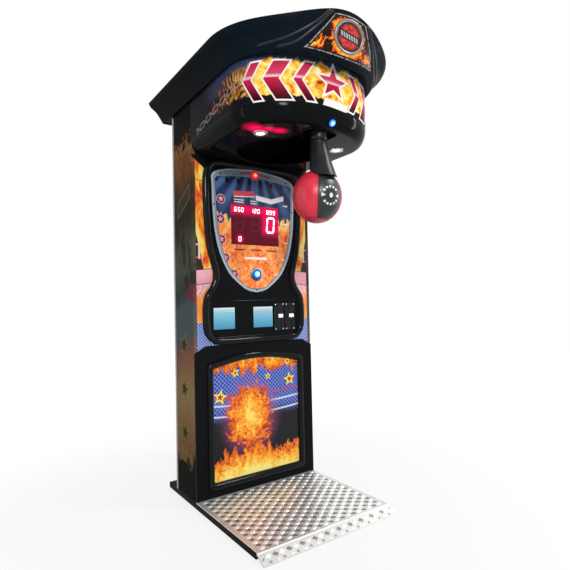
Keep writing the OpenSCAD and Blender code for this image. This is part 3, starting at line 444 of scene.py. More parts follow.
def rubber(name):
    finish = Finish(name, gloss=0.15)
    dust = finish.grain(45.0, 6.0, 0.7)
    return finish.done(
        colour=dust.step(0.45, 0.8).mix((0.012, 0.012, 0.013), (0.045, 0.042, 0.038)),
        rough=dust * 0.25 + 0.55, normal=finish.grain(700.0, 2.0).bump(0.0004, 0.4))


def black_board(name):
    """Black melamine-faced board with a fine pebbled skin and rubbed patches."""
    finish = Finish(name, gloss=0.15)
    pebble = finish.cells(900.0)
    rub = finish.grain(5.0, 6.0, 0.7)
    return finish.done(
        colour=rub.step(0.5, 0.8).mix((0.010, 0.010, 0.011), (0.028, 0.026, 0.024)),
        rough=rub * 0.2 + 0.42, normal=pebble.bump(0.0004, 0.5))


def leather(name, colour, crease, grain, rough, extra=None, gloss=0.22):
    """Grained leather; extra(finish, base) may paint marks over the base colour."""
    finish = Finish(name, gloss=gloss)
    pores = finish.cells(grain)
    fold = finish.grain(26.0, 6.0, 0.6, 0.8)
    wear = finish.grain(11.0, 5.0, 0.7)
    base = (wear.step(0.35, 0.8) * 0.55).mix(colour, tuple(c * 1.7 + 0.006 for c in colour))
    base = (pores.step(0.25, 0.02) * 0.45).mix(base, tuple(c * 0.45 for c in colour))
    if extra:
        base = extra(finish, base)
    return finish.done(
        colour=base, rough=wear * 0.16 + (rough - 0.06),
        normal=(pores * 0.35 + fold * crease).bump(0.0011, 0.5))


def lamp(name, core, edge, glow, centre, radius):
    """Lit plastic dome: pale in its middle and deep-coloured at its rim; a pair shares abs(x)."""
    finish = Finish(name, gloss=0.5, rough=0.15, glow_strength=glow)
    x, y, z = finish.xyz()
    dx, dy, dz = abs(x) - centre[0], y - centre[1], z - centre[2]
    rim = finish.math("SQRT", dx * dx + dy * dy + dz * dz) * (1.0 / radius)
    ribs = finish.grain(420.0, 2.0)
    glowing = (rim + (ribs - 0.5) * 0.10).ramp([
        (0.0, core), (0.55, edge), (1.0, tuple(c * 0.3 for c in edge))])
    return finish.done(colour=tuple(c * 0.6 for c in edge), glow=glowing)


def menu_chrome(glow):
    """Chrome ring of the menu button, with painted shade and highlight, darker below and lighter above,
    and on its inner slope a painted blue reflection of the lamp, in colour and glow.
    """
    finish = Finish("Chrome ring", metal=1.0, glow_strength=glow)
    x, y, z = finish.xyz()
    drop = z - MENU_PLACE[2]
    away = distance(x, drop)
    # Painted shade and highlight: the chrome darkens below and to the left and lightens above.
    shade = (drop + x * 0.5).step(-0.030, 0.016).mix((0.075, 0.075, 0.10), (0.62, 0.61, 0.66))
    # Painted reflection: the inner slope turns dark blue and glows blue, standing for the lamp mirrored
    # in it.
    return finish.done(
        colour=away.step(0.0265, 0.0240).mix(shade, (0.008, 0.012, 0.060)),
        glow=away.step(0.0240, 0.0195).mix((0.0, 0.0, 0.0), (0.003, 0.055, 0.42)),
        rough=finish.speckle(120.0, 0.16, 0.26))


def lit_key():
    """White key of the coin slots, lit from behind."""
    finish = Finish("White key lamp", gloss=0.5, rough=0.2, glow_strength=look().lamp_glow * 0.35)
    grain = finish.grain(260.0, 2.0)
    return finish.done(colour=(0.6, 0.6, 0.6), glow=grain.mix((0.78, 0.80, 0.80), (1.0, 1.0, 0.98)))


def clear_dark_window():
    finish = Finish("Dark red window", gloss=0.12, rough=0.12)
    x, y, z = finish.xyz()
    dots = finish.grain(160.0, 3.0)
    # Painted glow: the light of the lit digits is painted into the tinted sheet as a red glow round them,
    # and the rest of the sheet glows faintly in its own dark red.
    top_row = z.between(1.405, 1.452, 0.022)
    right = x.between(0.040, 0.142, 0.020) * z.step(1.285, 1.335)
    small = distance(x + 0.092, z - 1.279).step(0.030, 0.006)
    lit = most(most(top_row, right), small)
    deep = dots.mix((0.042, 0.0008, 0.0045), (0.075, 0.001, 0.009))
    red = lit.mix(deep, (0.80, 0.0, 0.085))
    return finish.done(
        colour=deep, glow=red, glow_strength=1.0, normal=finish.grain(30.0, 2.0).bump(0.0004, 0.2))


def circuit_board():
    finish = Finish("Circuit board", gloss=0.5)
    x, y, z = finish.xyz()
    tracks = (x * 260.0 + finish.grain(40.0, 0.0) * 2.0).wave().step(0.62, 0.72)
    return finish.done(
        colour=tracks.mix((0.006, 0.060, 0.022), (0.020, 0.16, 0.055)), rough=tracks * 0.15 + 0.35)


# Printed art


def raw_board(finish):
    """Bare brown fibre board, seen inside the cabinet."""
    return finish.grain(120.0, 5.0, 0.7).mix((0.12, 0.072, 0.040), (0.24, 0.155, 0.090))


def side_print():
    """Faded print on the side panels: dull fire above and below, net between, stars down the middle."""
    finish = Finish("Side print", gloss=0.004)
    x, y, z = finish.xyz()
    cloud = finish.noise_at((y * 5.0, z * 3.0, 2.0), 5.0, 0.6, 0.8)
    fine = finish.grain(90.0, 4.0)
    level = (z + y * 0.30 + (cloud - 0.5) * 0.22 + (fine - 0.5) * 0.10 - 0.09) * 0.5
    ground = level.ramp([
        (0.06, (0.012, 0.012, 0.010)), (0.14, (0.20, 0.12, 0.050)), (0.26, (0.30, 0.21, 0.090)),
        (0.34, (0.24, 0.11, 0.070)), (0.39, (0.080, 0.088, 0.088)), (0.47, (0.065, 0.088, 0.100)),
        (0.52, (0.050, 0.060, 0.055)), (0.60, (0.100, 0.105, 0.065)), (0.69, (0.035, 0.030, 0.018)),
        (0.75, (0.050, 0.034, 0.018)), (0.82, (0.16, 0.070, 0.030)), (0.90, (0.22, 0.085, 0.030))])
    blot = finish.noise_at((y * 16.0, z * 7.0, 9.0), 3.0, 0.55, 0.8).step(0.50, 0.60)
    middle = z.between(1.03, 1.34, 0.04)
    paint = over(blot * middle * 0.75, (0.030, 0.028, 0.026), ground)
    streak = finish.noise_at((y * 34.0, z * 9.0, 4.0), 4.0, 0.6, 1.3)
    paint = over(streak.step(0.50, 0.66) * z.step(1.40, 1.62) * 0.7, (0.36, 0.12, 0.035), paint)
    paint = over(streak.step(0.50, 0.68) * z.between(0.16, 0.66, 0.06) * 0.55, (0.34, 0.10, 0.060), paint)
    threads = net(y, z, 0.011, 0.30) * (z + y * 0.3).between(0.86, 1.05, 0.02)
    paint = over(threads * 0.40, (0.16, 0.20, 0.22), paint)
    # A slanted crimson field over the net, and a plain leaning plate above it
    corner = (z - y * 0.30).between(0.90, 0.985, 0.004) * (y + z * 0.5).step(0.770, 0.765)
    paint = over(corner * 0.8, (0.20, 0.040, 0.060), paint)
    leaning = z + y * 0.55
    plate = patch(y, 0.225, 0.375, leaning, 1.585, 1.660, 0.003, 0.003)
    field = patch(y, 0.231, 0.369, leaning, 1.592, 1.653, 0.003, 0.003)
    paint = over(plate * 0.8, (0.20, 0.19, 0.14), paint)
    paint = over(field * 0.9, (0.045, 0.038, 0.022), paint)
    # Black tongues from above and from below, with a thin pale edge
    for heat in (flames(y, z - 0.045, 0.17, 21.0, 0.42), flames(y, 1.93 - z, 0.20, 11.0, 0.42)):
        paint = over(heat.between(-0.22, 0.02, 0.05) * 0.35, (0.40, 0.24, 0.090), paint)
        paint = over(heat.step(0.0, 0.10), (0.008, 0.008, 0.007), paint)
    for height in (0.756, 0.541, 0.329):
        depth = star(y, z, (0.316, height), 0.050, 0.25)
        paint = over(depth.step(-0.30, 0.10) * 0.65, (0.22, 0.19, 0.065), paint)
        paint = over(depth.step(0.02, 0.10) * 0.9, (0.030, 0.028, 0.014), paint)
    paint = over(abs(x).step(HALF_W - SKIN + 0.0005, HALF_W - SKIN), raw_board(finish), paint)
    scuff = finish.grain(3.5, 8.0, 0.75)
    return finish.done(
        colour=paint, rough=scuff.step(0.35, 0.75) * 0.22 + 0.30,
        normal=(fine * 0.4 + scuff).bump(0.0004, 0.25))


def front_print():
    """Bright print beside the mouldings: fire along the bezel, ropes behind it, blue net below."""
    finish = Finish("Front print", gloss=0.25, coat=0.10, coat_rough=0.12)
    x, y, z = finish.xyz()
    side = abs(x)
    edge = (z - 0.70).ramp([
        (0.0, (0.285,) * 3), (0.10, (0.298,) * 3), (0.28, (0.296,) * 3), (0.36, (0.250,) * 3),
        (0.42, (0.240,) * 3), (0.52, (0.262,) * 3), (0.62, (0.285,) * 3), (0.80, (0.291,) * 3)])
    out = side - edge
    curl = finish.noise_at((side * 24.0, z * 8.0, 3.0), 3.0, 0.55, 1.2)
    fire = curl.ramp([
        (0.36, (0.74, 0.060, 0.020)), (0.43, (0.93, 0.23, 0.020)), (0.50, (0.98, 0.46, 0.040)),
        (0.58, (1.0, 0.66, 0.10)), (0.66, (1.0, 0.80, 0.28))])
    stripe = (out + (curl - 0.5) * 0.012).step(0.052, 0.046)
    dark = finish.grain(30.0, 3.0).mix((0.012, 0.003, 0.006), (0.030, 0.006, 0.010))
    for height, colour in ((1.330, (0.75, 0.10, 0.20)), (1.285, (0.85, 0.60, 0.66)),
                           (1.222, (0.85, 0.55, 0.62)), (1.160, (0.72, 0.05, 0.16))):
        line = (z - side * 0.06).between(height - 0.006, height + 0.002, 0.002)
        dark = over(line, colour, dark)
    post = patch(side, 0.306, 0.316, z, 1.17, 1.30, 0.001, 0.003)
    dark = over(post, (0.85, 0.62, 0.68), dark)
    upper = stripe.mix(dark, fire)
    pink = z.step(1.05, 1.10).mix((0.86, 0.34, 0.44), (0.92, 0.46, 0.55))
    slope = z + side * 0.10
    upper = (slope.step(1.152, 1.146) * out.step(0.0, 0.004)).mix(upper, pink)
    thread = net(side, z, 0.020, 0.14)
    lace = thread.mix((0.90, 0.66, 0.72), (0.42, 0.20, 0.44))
    tongue = flames(out * 2.2, z - 0.84, 0.20, 31.0, 0.8).step(0.05, 0.2)
    low_fire = tongue.mix(lace, curl.mix((0.88, 0.07, 0.02), (1.0, 0.62, 0.10)))
    lower = slope.step(1.080, 1.074).mix(upper, low_fire)
    blue_net = net(side, z, 0.017, 0.22).mix((0.055, 0.090, 0.42), (0.46, 0.62, 0.92))
    paint = (z + (curl - 0.5) * 0.05).step(0.872, 0.858).mix(lower, blue_net)
    paint = z.step(UNDER_Z - 0.003, UNDER_Z - 0.001).mix(paint, (0.010, 0.010, 0.011))
    for height in (1.079, 1.149, 1.513):
        line = slope if height < 1.2 else z - side * 0.12
        seam = line.between(height - 0.0015, height + 0.0015, 0.0008)
        paint = over(seam, (0.01, 0.005, 0.005), paint)
    paint = over(y.step(FRONT_Y + SKIN - 0.001, FRONT_Y + SKIN), raw_board(finish), paint)
    return finish.done(colour=paint, rough=finish.speckle(40.0, 0.26, 0.36))


def picture_print():
    """Lower picture: blue net and ropes behind a rising ball of fire, with red stars."""
    finish = Finish("Picture print", gloss=0.22, coat=0.08, coat_rough=0.10)
    x, y, z = finish.xyz()
    weave = net(x, z, 0.021, 0.20)
    shade = finish.noise_at((x * 5.0, z * 5.0), 3.0)
    blue = weave.mix(shade.mix((0.015, 0.020, 0.20), (0.030, 0.060, 0.42)), (0.22, 0.34, 0.80))
    paint = (z + (shade - 0.5) * 0.06).step(0.44, 0.36).mix(blue, (0.0035, 0.0035, 0.0045))
    sag = x * x * 0.20
    for height, colour in ((0.492, (0.62, 0.03, 0.07)), (0.447, (0.80, 0.80, 0.84)),
                           (0.395, (0.80, 0.80, 0.84))):
        twist = ((x + z) * 55.0).wave() * 0.35 + 0.65
        rope = (z - sag).between(height - 0.0045, height + 0.0045, 0.0012)
        paint = over(rope * twist, colour, paint)
    bulge = finish.math("EXPONENT", (x + 0.04) * (x + 0.04) * -42.0)
    heat_low = flames(x, z - 0.085 - bulge * 0.04, 0.125, 41.0, 0.6)
    swirl = finish.noise_at((x * 14.0, z * 14.0, 5.0), 4.0, 0.6, 2.2)
    ball = finish.math("SQRT", (x + 0.045) * (x + 0.045) + (z - 0.385) * (z - 0.385) * 0.72)
    heat_ball = (0.138 - ball) * 9.0 + (swirl - 0.5) * 2.0
    heat_top = flames(x, 0.690 - z, 0.085, 51.0, 0.55)
    glow = ball.step(0.20, 0.09)
    paint = over(glow * 0.45, (0.45, 0.10, 0.30), paint)
    root = z.step(0.19, 0.08) * 0.50 + 0.42
    for heat, more in ((heat_ball, 0.35), (heat_top, 0.35), (heat_low, root)):
        paint = over(heat.step(0.02, 0.10), fire_colour(heat + more), paint)
    for centre, radius, turn in (((0.195, 0.545), 0.038, 0.1), ((-0.215, 0.500), 0.040, -0.2),
                                 ((-0.130, 0.610), 0.026, 0.3), ((0.185, 0.640), 0.022, 0.5),
                                 ((0.060, 0.575), 0.020, 0.0)):
        depth = star(x, z, centre, radius, turn)
        paint = over(depth.step(-0.02, 0.02), (0.98, 0.78, 0.05), paint)
        paint = over(depth.step(0.16, 0.20), (0.55, 0.015, 0.020), paint)
        paint = over(depth.step(0.33, 0.37), (0.05, 0.003, 0.004), paint)
    return finish.done(colour=paint, rough=finish.speckle(30.0, 0.22, 0.32))


def display_print():
    """Display art: brushed silver border, navy sky with beams above, fire below, plain score marks."""
    finish = Finish("Display print", gloss=0.22, coat=0.08, coat_rough=0.08)
    x, y, z = finish.xyz()
    edge = display_edge(x, z)
    side = abs(x)
    beam = finish.math("ARCTAN2", side - 0.02, 1.72 - z)
    rays = (beam * 3.4 + 0.2).wave().step(0.25, 0.85) * z.step(1.33, 1.60)
    cloud = finish.noise_at((x * 9.0, z * 9.0), 5.0, 0.6)
    sky = (rays * 0.65 + cloud * 0.15).mix((0.007, 0.011, 0.060), (0.10, 0.21, 0.46))
    lights = ((x + 0.03) * 15.5).wave().step(0.62, 0.72) * z.between(1.556, 1.582, 0.002)
    sky = over(lights, (0.006, 0.008, 0.016), sky)
    curl = finish.noise_at((x * 30.0, z * 24.0, 6.0), 4.0, 0.6, 1.4)
    heat = flames(x, z - 1.205 - side * 0.45, 0.115, 61.0, 0.7) + (curl - 0.5) * 0.4
    hot = curl.ramp([
        (0.34, (0.66, 0.080, 0.022)), (0.43, (0.88, 0.17, 0.040)), (0.51, (0.93, 0.27, 0.065)),
        (0.60, (0.96, 0.40, 0.12)), (0.70, (0.98, 0.54, 0.22))])
    tips = heat.step(0.0, 0.7).mix((0.95, 0.58, 0.16), hot)
    art = heat.step(0.0, 0.08).mix(sky, tips)
    flash = patch(x, 0.006, 0.178, z - x * 0.10 - abs(x - 0.10) * 0.22, 1.462, 1.488, 0.003, 0.0015)
    art = over(flash, (0.86, 0.87, 0.88), art)
    for low, high, colour in ((1.504, 1.528, (0.62, 0.06, 0.08)), (1.498, 1.502, (0.9, 0.9, 0.9))):
        bar = patch(x + z * 0.2, 0.175, 0.300, z - x * 0.08, low, high)
        art = over(bar, colour, art)
    for middle in (-SCORE_STEP, 0.0, SCORE_STEP):
        for height, colour in ((1.476, (0.80, 0.72, 0.22)), (1.464, (0.75, 0.75, 0.78))):
            label = patch(x, middle - 0.028, middle + 0.028, z, height - 0.0025, height + 0.0025,
                          soft_up=0.0008)
            art = over(label * x.step(0.02, 0.0), colour, art)
        foot = patch(x, middle - 0.030, middle + 0.030, z, 1.221, 1.227, soft_up=0.0008)
        art = over(foot, (0.02, 0.012, 0.06), art)
    art = over(patch(x, -0.066, 0.066, z, 1.176, 1.188), (0.93, 0.80, 0.74), art)
    for height, reach in ((1.47, 0.196), (1.37, 0.200), (1.27, 0.196), (1.18, 0.176), (1.10, 0.130)):
        mark = patch(x, reach - 0.022, reach + 0.010, z, height - 0.004, height + 0.004, soft_up=0.0008)
        art = over(mark * (x * 110.0).wave().step(0.3, 0.45), (0.9, 0.88, 0.85), art)
        disc = distance(x + reach, z - height)
        art = over(disc.step(0.0245, 0.0235), (0.60, 0.50, 0.56), art)
        art = over(disc.step(0.0215, 0.0205), (0.16, 0.02, 0.05), art)
        depth = star(x, z, (-reach, height), 0.018, 0.1)
        art = over(depth.step(-0.02, 0.02), (0.80, 0.36, 0.42), art)
    brushed = finish.noise_at((x * 40.0, z * 900.0), 2.0)
    fade = z.step(1.05, 1.62)
    silver = (brushed * 0.5 + fade * 0.35).mix((0.34, 0.41, 0.50), (0.12, 0.16, 0.21))
    silver = over(edge.between(0.003, 0.007, 0.002) * 0.6, (0.85, 0.90, 0.95), silver)
    for middle in (-0.062, 0.062):
        mark = patch(x, middle - 0.032, middle + 0.032, z + side * 0.16, 1.618, 1.630)
        silver = over(mark * (x * 62.0).wave().step(0.22, 0.36), (0.30, 0.02, 0.05), silver)
    wide = z.step(1.56, 1.60) * 0.024 + 0.020
    paint = (edge - wide).step(-0.0006, 0.0006).mix(silver, art)
    line = (edge - wide).between(-0.0010, 0.0012, 0.0006)
    paint = over(line, (0.010, 0.012, 0.020), paint)
    return finish.done(colour=paint, rough=finish.speckle(60.0, 0.16, 0.26))


def info_print():
    """Instruction plates that fade from white to blue, with plain ruled lines."""
    finish = Finish("Information plates", gloss=0.25, coat=0.10, coat_rough=0.1)
    x, y, z = finish.xyz()
    fade = ((z - INFO_LOW) / INFO_H).ramp([
        (0.0, (0.060, 0.28, 0.48)), (0.35, (0.12, 0.44, 0.64)), (0.75, (0.28, 0.60, 0.74)),
        (0.97, (0.66, 0.80, 0.84))])
    lines = (z * 110.0).wave().step(0.70, 0.82)
    left = x.between(-0.235, -0.135, 0.001) + x.between(-0.011, 0.089, 0.001)
    ends = finish.noise_at((x * 30.0, finish.math("FLOOR", z * 110.0), 2.0), 1.0).step(0.38, 0.42)
    ruled = lines * left * ends * z.between(INFO_LOW + 0.008, INFO_LOW + 0.096, 0.001)
    pinkish = x.step(-0.05, 0.0) * z.step(0.878, 0.882)
    ink = pinkish.mix((0.10, 0.25, 0.36), (0.42, 0.06, 0.16))
    return finish.done(colour=over(ruled * 0.55, ink, fade), rough=finish.speckle(50.0, 0.18, 0.28))


def band_print():
    """Sign band: navy net above, dark smoke at the sides, fire behind crimson chevrons in the middle."""
    finish = Finish("Band print", gloss=0.012)
    x, y, z = finish.xyz()
    front = most((y - BAND_Y0) * -1.0, 0.0)
    angle = finish.math("ARCTAN2", front * 4.0, x / HALF_W)
    turn_sign = finish.math("SIGN", x)
    back = most(y - BAND_Y0, 0.0)
    across = (angle * -0.30 + 0.4712) + turn_sign * back
    up = z - BAND_Z
    smoke = finish.noise_at((across * 8.0, up * 12.0), 4.0)
    ground = smoke.mix((0.0045, 0.0040, 0.0060), (0.016, 0.013, 0.018))
    far = abs(across)
    top = (up + far.step(0.24, 0.40) * 0.050).step(0.140, 0.158)
    threads = net(across, up, 0.018, 0.16)
    weave = threads.mix((0.014, 0.026, 0.075), (0.070, 0.105, 0.19))
    paint = over(top * far.step(0.75, 0.55), weave, ground)
    # Smoke-dulled flames towards the sides
    lick = finish.noise_at((across * 24.0, up * 15.0, 6.0), 5.0, 0.62, 2.4)
    side_heat = (lick - 0.36) * 5.0 - far.step(0.40, 0.66) * 0.9
    dull = (side_heat * 0.7).ramp([
        (0.0, (0.02, 0.006, 0.005)), (0.26, (0.18, 0.034, 0.014)), (0.55, (0.52, 0.20, 0.040)),
        (0.9, (0.85, 0.60, 0.15))])
    strength = far.between(0.30, 0.64, 0.05) * (up + (lick - 0.5) * 0.08).between(0.042, 0.150, 0.016)
    paint = over(side_heat.step(0.0, 0.18) * strength * 0.9, dull, paint)
    # The bright fire in the middle
    reach = far.step(0.60, 0.22)
    curl = finish.noise_at((across * 20.0, up * 20.0, 8.0), 5.0, 0.62, 1.6)
    ragged = finish.noise_at((across * 22.0, 5.0, up * 5.0), 3.0, 0.6)
    fire_top = up + (ragged - 0.5) * 0.10 - reach * 0.055
    fire_low = up - 0.026 + (finish.noise_at((across * 16.0, 9.0), 3.0, 0.6) - 0.5) * 0.055
    mask = fire_top.step(0.122, 0.104) * fire_low.step(0.0, 0.004) * far.step(0.37, 0.30)
    hot = curl.ramp([
        (0.26, (0.12, 0.020, 0.006)), (0.34, (0.74, 0.11, 0.012)), (0.43, (0.98, 0.38, 0.030)),
        (0.53, (1.0, 0.68, 0.10)), (0.62, (1.0, 0.88, 0.40)), (0.74, (1.0, 0.95, 0.72))])
    paint = over(mask, hot, paint)
    # Crimson chevrons that point to a star on the middle line
    bent = far + abs(up - 0.092) * 0.62
    rising = (up + far * 0.02).between(0.014, 0.166, 0.0012)
    wide = (up + far * 0.02).between(0.007, 0.173, 0.0012)
    shape = ((bent - 0.070) / 0.118).wave()
    inside = shape.step(0.545, 0.515) * rising * bent.between(0.128, 0.372, 0.0012)
    outline = shape.step(0.665, 0.635) * wide * bent.between(0.121, 0.379, 0.0012)
    depth = star(across, up, (0.0, 0.104), 0.080, 0.0)
    inside = most(inside, depth.step(0.055, 0.075))
    outline = most(outline, depth.step(-0.045, -0.025))
    tone = (up / 0.18).ramp([
        (0.05, (0.012, 0.002, 0.004)), (0.22, (0.16, 0.006, 0.022)), (0.46, (0.48, 0.016, 0.060)),
        (0.53, (0.55, 0.02, 0.07)), (0.56, (0.90, 0.62, 0.68)), (0.62, (0.62, 0.06, 0.13)),
        (0.80, (0.55, 0.03, 0.09)), (0.95, (0.40, 0.02, 0.06))])
    paint = over(outline, (0.88, 0.86, 0.84), paint)
    paint = over(inside, tone, paint)
    # Outline of a chain at both ends of the band
    link = (far * 15.0).wave()
    drop = up - 0.105 + (far - 0.36) * 0.215
    wide_link = link.step(0.30, 0.36) * abs(drop).step(0.0150, 0.0140)
    hollow = link.step(0.46, 0.52) * abs(drop).step(0.0115, 0.0105)
    bridge = abs(drop).step(0.0058, 0.0048)
    gap = abs(drop).step(0.0028, 0.0018)
    drawn = most(wide_link, bridge) - most(hollow, gap)
    chain = drawn * far.between(0.36, 0.80, 0.01)
    paint = over(chain * 0.9, (0.40, 0.39, 0.38), paint)
    # Slanted white label over the start button
    leaning = across - up * 0.35
    label = leaning.between(-0.050, 0.066, 0.0015) * (up + across * 0.06).between(0.002, 0.034, 0.0012)
    paint = over(label, (0.80, 0.80, 0.79), paint)
    return finish.done(colour=paint, rough=finish.speckle(30.0, 0.22, 0.34))


def crest_print():
    """Crest insert: worn silver border, black ground, flames in the corners and round the badge."""
    finish = Finish("Crest print", gloss=0.12)
    x, y, z = finish.xyz()
    place = finish.node("ShaderNodeUVMap")
    place.uv_map = CREST_MAP
    parts = finish.node("ShaderNodeSeparateXYZ")
    finish.tree.links.new(place.outputs["UV"], parts.inputs[0])
    across = abs(Value(finish, parts.outputs[0]) * 2.0 - 1.0)
    share = Value(finish, parts.outputs[1])
    half = CREST_LOW_HALF - finish.math("POWER", share, 0.9) * (CREST_LOW_HALF - CREST_TOP_HALF)
    from_side = (across * -1.0 + 1.0) * half * 0.80
    depth = least(from_side, least(share, share * -1.0 + 1.0) * CREST_H)
    chip = finish.grain(85.0, 5.0, 0.7)
    border = (depth + (chip - 0.5) * 0.005).between(0.0042, 0.0078, 0.0012)
    ground = chip.mix((0.004, 0.003, 0.003), (0.014, 0.008, 0.006))
    up = share * CREST_H - BADGE_UP
    ring = distance(x / BADGE_A, up / BADGE_B)
    curl = finish.noise_at((x * 42.0, z * 42.0, 3.0), 5.0, 0.62, 1.4)
    heat_ring = (1.20 - ring) * 3.0 + (curl - 0.5) * 3.6
    corner = (abs(x) - 0.078) * 12.0 - abs(share * CREST_H - 0.028) * 26.0 + (curl - 0.5) * 4.2
    paint = ground
    for heat in (corner, heat_ring):
        hot = (heat * 0.45 + (curl - 0.35) * 1.1).ramp(FIRE)
        paint = over(heat.step(0.02, 0.14) * depth.step(0.012, 0.015), hot, paint)
    silver = chip.mix((0.16, 0.16, 0.17), (0.62, 0.62, 0.64))
    paint = over(border * chip.step(0.40, 0.52), silver, paint)
    return finish.done(
        colour=paint, rough=finish.speckle(60.0, 0.25, 0.42),
        normal=(border * 0.8 + chip * 0.1).bump(0.0010, 0.6))


def badge_red():
    finish = Finish("Badge red", gloss=0.25, coat=0.10, coat_rough=0.12)
    x, y, z = finish.xyz()
    curl = finish.noise_at((x * 60.0, z * 60.0, 2.0), 4.0, 0.6, 1.0)
    rise = (z - BADGE_Z) / cos(BADGE_TILT)
    ring = distance(x / 0.063, rise / 0.050)
    red = curl.ramp([
        (0.38, (0.30, 0.008, 0.012)), (0.5, (0.58, 0.024, 0.030)), (0.62, (0.72, 0.090, 0.045))])
    # Painted shadow: the disc darkens over its outer part towards the bezel, the shade the raised ring
    # casts into the recess.
    red = over(ring.step(0.62, 1.02), (0.020, 0.004, 0.003), red)
    slant = z - BADGE_Z + x * 0.10
    bar = slant.between(-0.0135, 0.0135, 0.0012) * abs(x).step(0.060, 0.057)
    red = over(bar, (0.010, 0.008, 0.008), red)
    grey = slant.between(-0.0080, 0.0080, 0.0008) * abs(x).step(0.048, 0.046)
    stripes = ((x + slant * 0.5) / 0.0135).wave().step(0.30, 0.42)
    red = over(grey * stripes, curl.mix((0.22, 0.22, 0.23), (0.62, 0.61, 0.60)), red)
    return finish.done(colour=red, rough=finish.speckle(80.0, 0.2, 0.3))


def badge_grey():
    finish = Finish("Badge grey", gloss=0.5, metal=0.55)
    wear = finish.grain(70.0, 5.0, 0.65)
    return finish.done(
        colour=wear.mix((0.13, 0.135, 0.14), (0.30, 0.31, 0.31)), rough=wear * 0.2 + 0.26,
        normal=wear.bump(0.0004, 0.3))


def coin_black():
    finish = Finish("Coin plate black", gloss=0.15)
    grain = finish.cells(1400.0)
    wear = finish.grain(40.0, 5.0, 0.65)
    return finish.done(
        colour=wear.step(0.5, 0.8).mix((0.006, 0.008, 0.009), (0.020, 0.023, 0.026)),
        rough=wear * 0.15 + 0.33, normal=grain.bump(0.0003, 0.4))


def tread_metal(name, light, dark, rough, metal):
    """Aluminium with rolling marks, small dents and cloudy dirt, and a painted shade on its folded lip
    that is full on the left and fades out to the right.
    """
    finish = Finish(name, metal=metal)
    x, y, z = finish.xyz()
    roll = finish.noise_at((x * 14.0, y * 700.0, z * 700.0), 2.0)
    dirt = finish.grain(14.0, 7.0, 0.7)
    dent = finish.grain(60.0, 2.0)
    # Painted shade: below the plate's edge the folded lip takes the dark colour, fully on the left and
    # fading out towards the right.
    folded = z.step(DECK_TOP - 0.0015, DECK_TOP - 0.0045) * x.step(0.45, -0.10)
    return finish.done(
        colour=folded.mix(dirt.step(0.42, 0.75).mix(light, dark), dark),
        rough=dirt.step(0.35, 0.7) * 0.10 + roll * 0.08 + rough,
        normal=(roll * 0.2 + dent).bump(0.0004, 0.35))


# Shapes


def smooth_line(points, steps):
    """Smooth open curve through the points, with a number of steps between each pair."""
    line = []
    last = len(points) - 1
    for i in range(last):
        a, b, c, d = (points[max(i - 1, 0)], points[i], points[i + 1], points[min(i + 2, last)])
        for k in range(steps):
            t = k / steps
            line.append(tuple(
                0.5 * (2 * q + (r - p) * t + (2 * p - 5 * q + 4 * r - s) * t ** 2
                       + (3 * q - p - 3 * r + s) * t ** 3)
                for p, q, r, s in zip(a, b, c, d)))
    line.append(tuple(points[last]))
    return line


def whole(half):
    """Adds the mirror image of a right half that starts and ends on the middle line."""
    return half + [(-x, z) for x, z in reversed(half[1:-1])]


def inset(outline, depth):
    """Moves a closed counter-clockwise outline inwards along its own normals."""
    count = len(outline)
    moved = []
    for i, (x, z) in enumerate(outline):
        before, after = outline[i - 1], outline[(i + 1) % count]
        run = Vector((after[0] - before[0], after[1] - before[1])).normalized()
        moved.append((x - run.y * depth, z + run.x * depth))
    return moved


def plan(half, rear, y0, yf, steps=96):
    """Plan outline of the head: rear left, round the front, rear right."""
    arc = [(-half * cos(pi * i / steps), y0 - (y0 - yf) * sin(pi * i / steps))
           for i in range(steps + 1)]
    return [(-half, rear)] + arc + [(half, rear)]


def turns(count):
    """Angles of one full turn in equal steps."""
    return [2 * pi * i / count for i in range(count)]


def placed(name, data):
    """New object of the data, linked to the scene."""
    made = bpy.data.objects.new(name, data)
    bpy.context.scene.collection.objects.link(made)
    return made


def new_mesh(name, points, faces, outward=True):
    mesh = bpy.data.meshes.new(name)
    mesh.from_pydata([tuple(p) for p in points], [], faces)
    if outward:
        edit = bmesh.new()
        edit.from_mesh(mesh)
        bmesh.ops.remove_doubles(edit, verts=edit.verts, dist=0.00001)
        bmesh.ops.recalc_face_normals(edit, faces=edit.faces)
        edit.to_mesh(mesh)
        edit.free()
    return mesh


def ring_faces(rings, count, closed=True, wrap=False):
    """Quads between neighbouring rings of equal length; wrap joins the last ring to the first."""
    faces = []
    for j in range(rings if wrap else rings - 1):
        for i in range(count if closed else count - 1):
            a, b = j * count + i, j * count + (i + 1) % count
            c, d = ((j + 1) % rings) * count + (i + 1) % count, ((j + 1) % rings) * count + i
            faces.append((a, b, c, d))
    return faces


def loft(name, rings, wrap=False):
    """Closed skin through rings of points; with wrap the rings form a loop and need no caps."""
    count = len(rings[0])
    faces = ring_faces(len(rings), count, wrap=wrap)
    if not wrap:
        faces.append(tuple(reversed(range(count))))
        faces.append(tuple(range((len(rings) - 1) * count, len(rings) * count)))
    return new_mesh(name, [p for ring in rings for p in ring], faces)


def tube(name, path, radius, sides):
    """Round bead along a path of points, closed at both ends."""
    rings = []
    for i, point in enumerate(path):
        run = (Vector(path[min(i + 1, len(path) - 1)]) - Vector(path[max(i - 1, 0)])).normalized()
        side = run.cross(Vector((0, 0, 1))).normalized()
        rise = side.cross(run)
        thin = radius * min(1.0, 0.25 + min(i, len(path) - 1 - i) * 0.25)
        rings.append([Vector(point) + side * (thin * cos(a)) + rise * (thin * sin(a))
                      for a in turns(sides)])
    return loft(name, rings)


